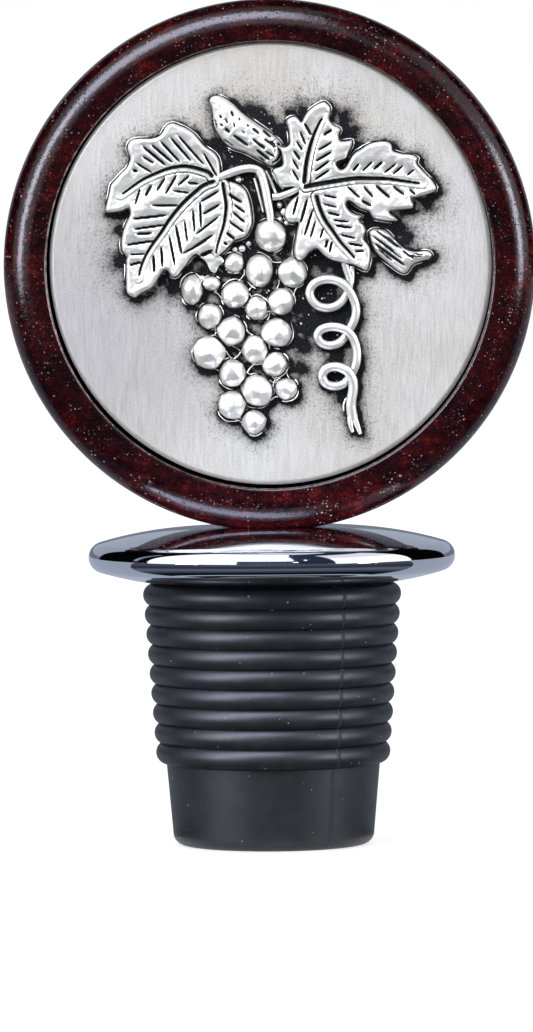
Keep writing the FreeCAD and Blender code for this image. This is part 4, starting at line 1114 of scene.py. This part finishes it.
# Black stays where neighbouring forms shelter the surface from the polishing cloth.
def stainHollows(bm):
    bm.normal_update()
    tree = BVHTree.FromBMesh(bm)
    darkness = bm.verts.layers.float["hollow"]
    directions = shelterDirections()
    allRound = sum(direction.z for direction in directions)
    for vert in bm.verts:
        if vert.co.z < -0.02:
            continue
        normal = vert.normal
        turn = normal.to_track_quat("Z", "Y")
        start = vert.co + normal * 0.02
        hits = sum(direction.z for direction in directions
                   if tree.ray_cast(start, turn @ direction, shading["reach"])[0] is not None)
        sheltered = max(hits / allRound, -normal.z, 1 - vert.co.z / shading["ground"])
        dark = (sheltered - shading["start"]) / (shading["full"] - shading["start"])
        steep = max(0.0, 1 - max(0.0, normal.z) / shading["steepLimit"])
        dark = max(dark, shading["steepShare"] * steep ** 1.4)
        vert[darkness] = max(vert[darkness], min(1.0, dark))


def makeMedallion():
    relief = newReliefMesh()
    for leaf, form in ((leftLeaf, leafForm), (rightLeaf, leafForm), (cane, caneForm), (spur, spurForm),
                       (leafTip, tipForm)):
        appendTo(relief, makeLeaf(leaf, form))
        appendTo(relief, makeLedge(leaf))
    for number, grape in enumerate(bunch["grapes"]):
        appendTo(relief, makeGrape(*grape, number))
        if grape[2] > bunch["small"]:
            appendTo(relief, makeCollar(*grape, number))
    for part in (makeWires(), makeWebs(), makeCrumbs()):
        appendTo(relief, part)
    bmesh.ops.recalc_face_normals(relief, faces=relief.faces[:])
    reliefLayer = relief.verts.layers.float["relief"]
    for vert in relief.verts:
        vert[reliefLayer] = 1.0
    print("relief shaped,", len(relief.verts), "points")
    stainHollows(relief)
    print("relief stained")
    tree = BVHTree.FromBMesh(relief)
    field = newReliefMesh()
    inner = medallion["radius"] + medallion["grow"] - medallion["edge"] - medallion["rimFlat"]
    bmesh.ops.create_circle(field, cap_ends=True, segments=360, radius=inner)
    bmesh.ops.recalc_face_normals(field, faces=field.faces[:])
    if field.faces[:][0].normal.z < 0:
        bmesh.ops.reverse_faces(field, faces=field.faces[:])
    gridCut(field, medallion["fieldGrid"])
    away = field.verts.layers.float["away"]
    # painted shadow: the halo of black is pushed below and to the right of each form
    shift = Vector(shading["haloShadowShift"])
    dabs = [(fromPhoto(x, y), radius / photo["facePixelsPerMm"]) for x, y, radius in darkPlaces]
    for vert in field.verts:
        fromDabs = min((vert.co.xy - middle).length - shading["dabShare"] * radius for middle, radius in dabs)
        fromForms = tree.find_nearest(vert.co + shift)[3]
        vert[away] = max(0.0, min(fromForms, shading["dabSpread"] * fromDabs))
    for grow, drop in ((medallion["rimFlat"], 0), (medallion["edge"], -medallion["edgeDrop"]),
                       (0, medallion["edgeDrop"] - medallion["thickness"])):
        for vert in extrudeRim(field):
            vert.co.xy *= 1 + grow / vert.co.xy.length
            vert.co.z += drop
            vert[away] = 9.0            # no black out here
    closeRim(field)
    appendTo(relief, field)
    stand = Matrix.Rotation(math.pi / 2, 4, "X")
    place = Matrix.Translation((medallion["middleX"], medallion["face"], medallion["middleZ"])) @ stand
    piece = finishPiece(relief, "cast_medallion", pewterMaterial, place, sharpAngle=52)
    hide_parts("medallion")


makeMedallion()


# Chromed cap

capLow, capHigh = (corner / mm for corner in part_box("stopper_cap"))
cap = {
    "radius": capHigh.x,
    "landLevel": capHigh.z,
    "stemLevel": capLow.z,
    "noseRadius": 1.16,
    "crownHeight": 2.28,
    "landRadius": 5.0,
    "seatDepth": 1.95,
    "seatRadius": 9.2,
    "undersideRadius": 25.6,
    "stemRadius": 3.9,
    "stemChamfer": 0.6,
    "barbRadius": 4.6,
    "barbs": 3,
    "barbPitch": 3.8,
    "barbSlope": 2.4,
    "barbLand": 0.4,
    "barbStart": 1.4,
    "holeRadius": 2.05,
    "holeDepth": 8.0,
    "holeSlope": 31.0,
    "turnSteps": 360,
}


# The barbs' outline from the top one down, for the stem and for the bore round it.
def barbOutline(radius, barbRadius, gap=0.0, lift=0.0):
    found = []
    for barb in reversed(range(cap["barbs"])):
        bottom = cap["stemLevel"] + cap["barbStart"] + barb * cap["barbPitch"]
        shoulder = bottom + cap["barbSlope"]
        crest = shoulder + cap["barbLand"] + gap
        found += [(radius, crest + lift), (barbRadius, crest), (barbRadius, shoulder), (radius, bottom)]
    return found


def angleOf(centre, point):
    return math.degrees(math.atan2(point[1] - centre[1], point[0] - centre[0]))


def makeCap():
    rimLevel = cap["landLevel"] - cap["crownHeight"]
    seatLevel = rimLevel - cap["seatDepth"]
    nose = Vector((cap["radius"] - cap["noseRadius"], rimLevel))
    reach = nose.x - cap["landRadius"]
    rise = cap["crownHeight"]
    crownRadius = (reach ** 2 + rise ** 2 - cap["noseRadius"] ** 2) / (2 * (rise - cap["noseRadius"]))
    crown = Vector((cap["landRadius"], cap["landLevel"] - crownRadius))
    seat = Vector((cap["seatRadius"], seatLevel))
    # middle of the underside's arc: as far from the seat's edge as its radius, and tangent to the rim
    far = cap["undersideRadius"]
    near = far - cap["noseRadius"]
    apart = seat - nose
    along = (near ** 2 - far ** 2 + apart.length ** 2) / (2 * apart.length)
    aside = math.sqrt(near ** 2 - along ** 2)
    unit = apart.normalized()
    across = Vector((-unit.y, unit.x))
    under = max((nose + unit * along + across * aside, nose + unit * along - across * aside),
                key=lambda point: point.y)
    crownTurn = angleOf(crown, nose)
    underTurn = angleOf(under, nose)
    hole = cap["landLevel"] - cap["holeDepth"]
    profile = [(0, hole - drillTip(cap)), (cap["holeRadius"], hole), (cap["holeRadius"], cap["landLevel"])]
    profile += arcPoints(crown, crownRadius, 90, crownTurn, 26)
    profile += arcPoints(nose, cap["noseRadius"], crownTurn, underTurn, 26)[1:]
    profile += arcPoints(under, far, underTurn, angleOf(under, seat), 18)[1:]
    profile += [(cap["stemRadius"], seatLevel)]
    profile += barbOutline(cap["stemRadius"], cap["barbRadius"], lift=0.001)
    profile += [(cap["stemRadius"], cap["stemLevel"] + cap["stemChamfer"]),
                (cap["stemRadius"] - cap["stemChamfer"], cap["stemLevel"]), (0, cap["stemLevel"])]
    bm = spinProfile(profile, cap["turnSteps"])
    piece = finishPiece(bm, "plated_cap", chromeMaterial, sharpAngle=28)
    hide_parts("stopper_cap")


makeCap()


# Rubber plug

sleeveLow, sleeveHigh = (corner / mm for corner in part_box("rubber_sleeve"))
sleeve = {
    "height": sleeveHigh.z,
    "topRadius": 9.1,
    "endRadius": 7.6,
    "endRound": 0.9,
    "ribs": 9,
    "ribPitch": 1.5,
    "ribStand": 0.8,
    "ribRadius": 0.88,
    "ribTop": 0.06,
    "floor": 4.0,
    "clearance": 0.05,
    "seamWidth": 0.1,
    "seamHeight": 0.035,
    "turnSteps": 216,
}


def makeSleeve():
    def coreAt(level):
        return sleeve["endRadius"] + (sleeve["topRadius"] - sleeve["endRadius"]) * level / sleeve["height"]

    rounding = sleeve["endRound"]
    profile = [(0, 0)] + arcPoints((sleeve["endRadius"] - rounding + 0.06, rounding), rounding, -90, 0, 8)
    half = math.degrees(math.asin(sleeve["ribPitch"] / 2 / sleeve["ribRadius"]))
    foot = math.degrees(math.acos((sleeve["ribRadius"] - sleeve["ribStand"]) / sleeve["ribRadius"]))
    for rib in reversed(range(sleeve["ribs"])):
        level = sleeve["height"] - sleeve["ribTop"] - sleeve["ribRadius"] - rib * sleeve["ribPitch"]
        middle = coreAt(level) + sleeve["ribStand"] - sleeve["ribRadius"]
        first = -foot if rib == sleeve["ribs"] - 1 else -half
        last = foot if rib == 0 else half
        profile += arcPoints((middle, level), sleeve["ribRadius"], first, last, 14)
    profile += [(sleeve["topRadius"], sleeve["height"])]
    bore = cap["stemRadius"] + sleeve["clearance"]
    profile += [(bore, sleeve["height"])]
    profile += barbOutline(bore, cap["barbRadius"] + sleeve["clearance"], gap=sleeve["clearance"])
    profile += [(bore, sleeve["floor"] + cap["stemChamfer"]),
                (bore - cap["stemChamfer"], sleeve["floor"]), (0, sleeve["floor"])]
    bm = spinProfile(profile, sleeve["turnSteps"])
    seamTurn = math.radians(rubber["seamAngle"])
    bmesh.ops.transform(bm, matrix=Matrix.Rotation(seamTurn - math.pi / 2, 4, "Z"), verts=bm.verts[:])
    seamLayer = bm.verts.layers.float.new("seam")
    towards = Vector((math.sin(seamTurn), -math.cos(seamTurn), 0))
    outside = cap["barbRadius"] + 1.0

    def onSeam(vert):
        flat = Vector((vert.co.x, vert.co.y, 0))
        return flat.length > outside and abs(flat.cross(towards).z) < 0.01

    seam = [edge for edge in bm.edges if onSeam(edge.verts[0]) and onSeam(edge.verts[1])]
    split = bmesh.ops.bevel(bm, geom=seam, offset=sleeve["seamWidth"] / 2, segments=2, profile=0.5,
                            affect="EDGES", material=-1)
    for vert in split["verts"]:
        if onSeam(vert):
            flat = Vector((vert.co.x, vert.co.y, 0)).normalized()
            vert.co += flat * sleeve["seamHeight"]
            vert[seamLayer] = 1.0
    piece = finishPiece(bm, "ribbed_plug", rubberMaterial, sharpAngle=60)
    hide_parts("rubber_sleeve")


makeSleeve()


# Stud: threaded from end to end

studLow, studHigh = (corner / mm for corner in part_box("threaded_stud"))
stud = {
    "low": studLow.z,
    "high": studHigh.z,
    "crestRadius": studHigh.x,
    "rootRadius": 1.58,
    "pitch": 0.7,
    "crestFlat": 0.09,
    "rootFlat": 0.17,
    "chamfer": 0.4,
    "turnSteps": 32,
}


def makeStud():
    # one tooth, turned and raised by its pitch each turn, then cut off square at both ends
    root, crest, pitch = stud["rootRadius"], stud["crestRadius"], stud["pitch"]
    slope = (pitch - stud["crestFlat"] - stud["rootFlat"]) / 2
    heights = (0, slope, slope + stud["crestFlat"], 2 * slope + stud["crestFlat"], pitch)
    turns = math.ceil((stud["high"] - stud["low"]) / pitch) + 2
    bm = bmesh.new()
    verts = [bm.verts.new((radius, 0, stud["low"] - 1.5 * pitch + height))
             for radius, height in zip((root, crest, crest, root, root), heights)]
    edges = [bm.edges.new(pair) for pair in zip(verts, verts[1:])]
    bmesh.ops.spin(bm, geom=verts + edges, cent=(0, 0, 0), axis=(0, 0, 1), angle=math.tau * turns,
                   steps=stud["turnSteps"] * turns, dvec=(0, 0, pitch / stud["turnSteps"]))
    bmesh.ops.remove_doubles(bm, verts=bm.verts[:], dist=1e-4)
    for level, side in ((stud["low"], -1), (stud["high"], 1)):
        cutPlane(bm, (0, 0, level), (0, 0, side), snap=1e-5)
        rim = [edge for edge in bm.edges if edge.is_boundary and abs(edge.verts[0].co.z - level) < 1e-3]
        bmesh.ops.contextual_create(bm, geom=rim)
    for vert in bm.verts:
        fromEnd = min(vert.co.z - stud["low"], stud["high"] - vert.co.z)
        limit = crest - stud["chamfer"] + max(0.0, fromEnd)
        radius = vert.co.xy.length
        if radius > limit:
            vert.co.xy *= limit / radius
    bmesh.ops.recalc_face_normals(bm, faces=bm.faces[:])
    print("stud's open edges:", sum(edge.is_boundary for edge in bm.edges))
    piece = finishPiece(bm, "cut_stud", steelMaterial, sharpAngle=35)
    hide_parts("threaded_stud")


makeStud()


# Stage: a white floor that keeps the shadow, a white surround, and soft boxes and dark cards round it

stage = {
    "worldLight": 0.5,       # plain light from all round
    "middle": 0.035,         # height that the cards are centred on
    "distance": 0.9,
    "lampPower": 1.0,
    "floor": "dcdcdc",
    "floorGlow": 0.72,       # brings the floor to white where the camera or a mirror sees it
    "floorHalf": 6.0,        # metres
    # soft boxes: azimuth in degrees to the right of the camera, then height, distance, width and
    # height of the box in metres
    "lamps": {
        "leftSoftBox": (-35, 0.6, 0.9, 0.9, 0.8),
        "rightSoftBox": (66, 0.4, 0.9, 0.6, 0.6),
    },
    # what a mirror sees: azimuths from the camera's side, elevations, colour, strength, and the
    # distance as a share (nearer ones stand in front of the others)
    "cards": {
        "leftBox": ((-84, -22), (-2, 72), "f2f5ff", 1.9, 1.0),
        "leftBoxTop": ((-22, 14), (21, 72), "f2f5ff", 1.9, 1.0),
        "topBox": ((-84, 98), (72, 86), "e4e8f5", 1.2, 1.0),
        "lampOne": ((13.4, 16.2), (10.8, 14.2), "ffffff", 5.0, 0.95),
        "lampTwo": ((21.2, 23.4), (26.2, 29.2), "ffffff", 5.0, 0.95),
        "rightBox": ((40, 97), (-2, 36), "f6f6ff", 1.9, 1.0),
        "rightBoxTop": ((40, 97), (36, 58), "f6f6ff", 1.2, 1.0),
        "overRightBox": ((40, 97), (58, 72), "3a4152", 0.5, 1.0),
        "gap": ((14, 40), (-2, 72), "323b50", 0.9, 1.0),
        "front": ((-22, 14), (-2, 21), "555c6b", 0.9, 1.0),
        "leftFlag": ((-138, -84), (-2, 62), "050507", 1.0, 1.0),
        "rightFlag": ((97, 138), (-2, 62), "050507", 1.0, 1.0),
        "stand": ((-97, -93), (6, 44), "aab0bd", 0.9, 0.97),
        "backLow": ((138, 222), (-2, 6), "868e9c", 0.8, 1.0),
        "back": ((138, 222), (6, 34), "b9c2d2", 0.85, 1.0),
        "backTop": ((138, 222), (34, 86), "2c2f36", 0.6, 1.0),
        "leftTop": ((-138, -84), (62, 86), "5a606c", 0.6, 1.0),
        "rightTop": ((97, 138), (62, 86), "5a606c", 0.6, 1.0),
    },
    # bright arcs that the disc's rounded edge reflects: degrees round the camera's line (0 right,
    # 90 up), degrees away from it, colour, strength
    "arcs": {
        "topArc": ((82, 140), (42, 68), "e2e6ff", 17.0),
        "leftArc": ((140, 183), (47, 62), "ecedff", 24.0),
        "rightArc": ((-4, 27), (55, 69), "eeefff", 24.0),
    },
    # what the cap's underside sees on the table: azimuths, radii in mm, colour, strength
    "tableCards": {
        "underPlug": ((-95, 95), (8.5, 13.8), "14161d", 0.9),
        "brightRing": ((-95, 95), (13.8, 16.4), "ccd2de", 0.9),
        "darkRing": ((-95, 95), (16.4, 25.0), "171a22", 0.9),
        "midRing": ((-95, 95), (25.0, 32.0), "4a505e", 0.9),
        "greyRing": ((-95, 95), (32.0, 48.0), "6d7486", 0.9),
        "outerRing": ((-95, 95), (48.0, 90.0), "3e424e", 0.9),
        "farTable": ((-95, 95), (90.0, 885.0), "565c69", 0.9),
        "paleTable": ((95, 265), (8.5, 885.0), "b9c2d2", 0.9),
    },
}


def showsWhite(tree):
    path = addNode(tree, "LightPath", {}).node.outputs
    seen = path["Is Camera Ray"]
    for kind in ("Is Glossy Ray", "Is Transmission Ray"):
        seen = addNode(tree, "Math", (seen, path[kind]), operation="MAXIMUM")
    return seen


def makeWorld():
    world = bpy.data.worlds.new("surround")
    world.use_nodes = True
    scene.world = world
    tree = world.node_tree
    strength = addNode(tree, "Mix", {0: showsWhite(tree), 2: stage["worldLight"], 3: 1.0})
    setInputs(tree.nodes["Background"], {"Color": "ffffff", "Strength": strength})


def makeFloor():
    material, tree, shader = newMaterial("paleFloor")
    setInputs(shader, {"Base Color": stage["floor"], "Roughness": 0.8, "Specular IOR Level": 0.0})
    glow = addNode(tree, "Emission", {"Color": "ffffff", "Strength": stage["floorGlow"]})
    lit = addNode(tree, "AddShader", (shader.outputs[0], glow))
    mix = addNode(tree, "MixShader", (showsWhite(tree), shader.outputs[0], lit))
    setInputs(tree.nodes["Material Output"], {"Surface": mix})
    bm = bmesh.new()
    bmesh.ops.create_grid(bm, x_segments=2, y_segments=2, size=stage["floorHalf"])
    floor = addObject(bm, "floor", material)
    floor.location.z = -0.00002


# A soft box that faces the stopper.
def makeLamp(name, azimuth, height, distance, width, tall):
    data = bpy.data.lights.new(name, "AREA")
    data.shape = "RECTANGLE"
    data.size = width
    data.size_y = tall
    data.energy = stage["lampPower"] * width * tall * math.pi
    lamp = bpy.data.objects.new(name, data)
    turn = math.radians(azimuth)
    lamp.location = (distance * math.sin(turn), -distance * math.cos(turn), height)
    aim = Vector((0, 0, stage["middle"])) - lamp.location
    lamp.rotation_euler = aim.to_track_quat("-Z", "Y").to_euler()
    lamp.visible_glossy = False
    scene.collection.objects.link(lamp)


# A card that only shows in reflections: a line of points swept about an axis.
def sweepCard(name, points, centre, axis, degrees, steps, colour, strength):
    bm = bmesh.new()
    verts = [bm.verts.new(point) for point in points]
    edges = [bm.edges.new(pair) for pair in zip(verts, verts[1:])]
    bmesh.ops.spin(bm, geom=verts + edges, cent=centre, axis=axis, angle=math.radians(degrees), steps=steps)
    material, tree, shader = newMaterial(name + "Cloth")
    glow = addNode(tree, "Emission", {"Color": colour, "Strength": strength})
    setInputs(tree.nodes["Material Output"], {"Surface": glow})
    card = addObject(bm, name, material)
    for kind in ("camera", "diffuse", "shadow", "transmission", "volume_scatter"):
        setattr(card, "visible_" + kind, False)


# A curved card at one distance all round.
def makeCard(name, azimuths, elevations, colour, strength, nearness):
    reach = stage["distance"] * nearness
    first, last = (math.radians(angle) for angle in elevations)
    side = math.radians(azimuths[0])
    points = []
    for i in range(13):
        up = first + (last - first) * i / 12
        out = reach * math.cos(up)
        points.append((out * math.sin(side), -out * math.cos(side), stage["middle"] + reach * math.sin(up)))
    sweepCard(name, points, (0, 0, 0), (0, 0, 1), azimuths[1] - azimuths[0], 16, colour, strength)


# A curved card that keeps to an angle away from the camera's line.
def makeArc(name, turns, aways, colour, strength):
    reach = stage["distance"] * 0.95
    first, last = (math.radians(angle) for angle in aways)
    side = math.radians(turns[0])
    points = []
    for i in range(7):
        away = first + (last - first) * i / 6
        out = reach * math.sin(away)
        points.append((out * math.cos(side), -reach * math.cos(away), stage["middle"] + out * math.sin(side)))
    sweepCard(name, points, (0, 0, stage["middle"]), (0, -1, 0), turns[1] - turns[0], 16, colour, strength)


# A flat card just above the floor, which the undersides reflect.
def makeTableCard(name, azimuths, radii, colour, strength):
    side = math.radians(azimuths[0])
    points = [(radius * mm * math.sin(side), -radius * mm * math.cos(side), 0.4 * mm) for radius in radii]
    sweepCard(name, points, (0, 0, 0), (0, 0, 1), azimuths[1] - azimuths[0], 24, colour, strength)


makeWorld()
makeFloor()
for key, make in (("lamps", makeLamp), ("cards", makeCard), ("arcs", makeArc), ("tableCards", makeTableCard)):
    for name, values in stage[key].items():
        make(name, *values)
print("stage set")
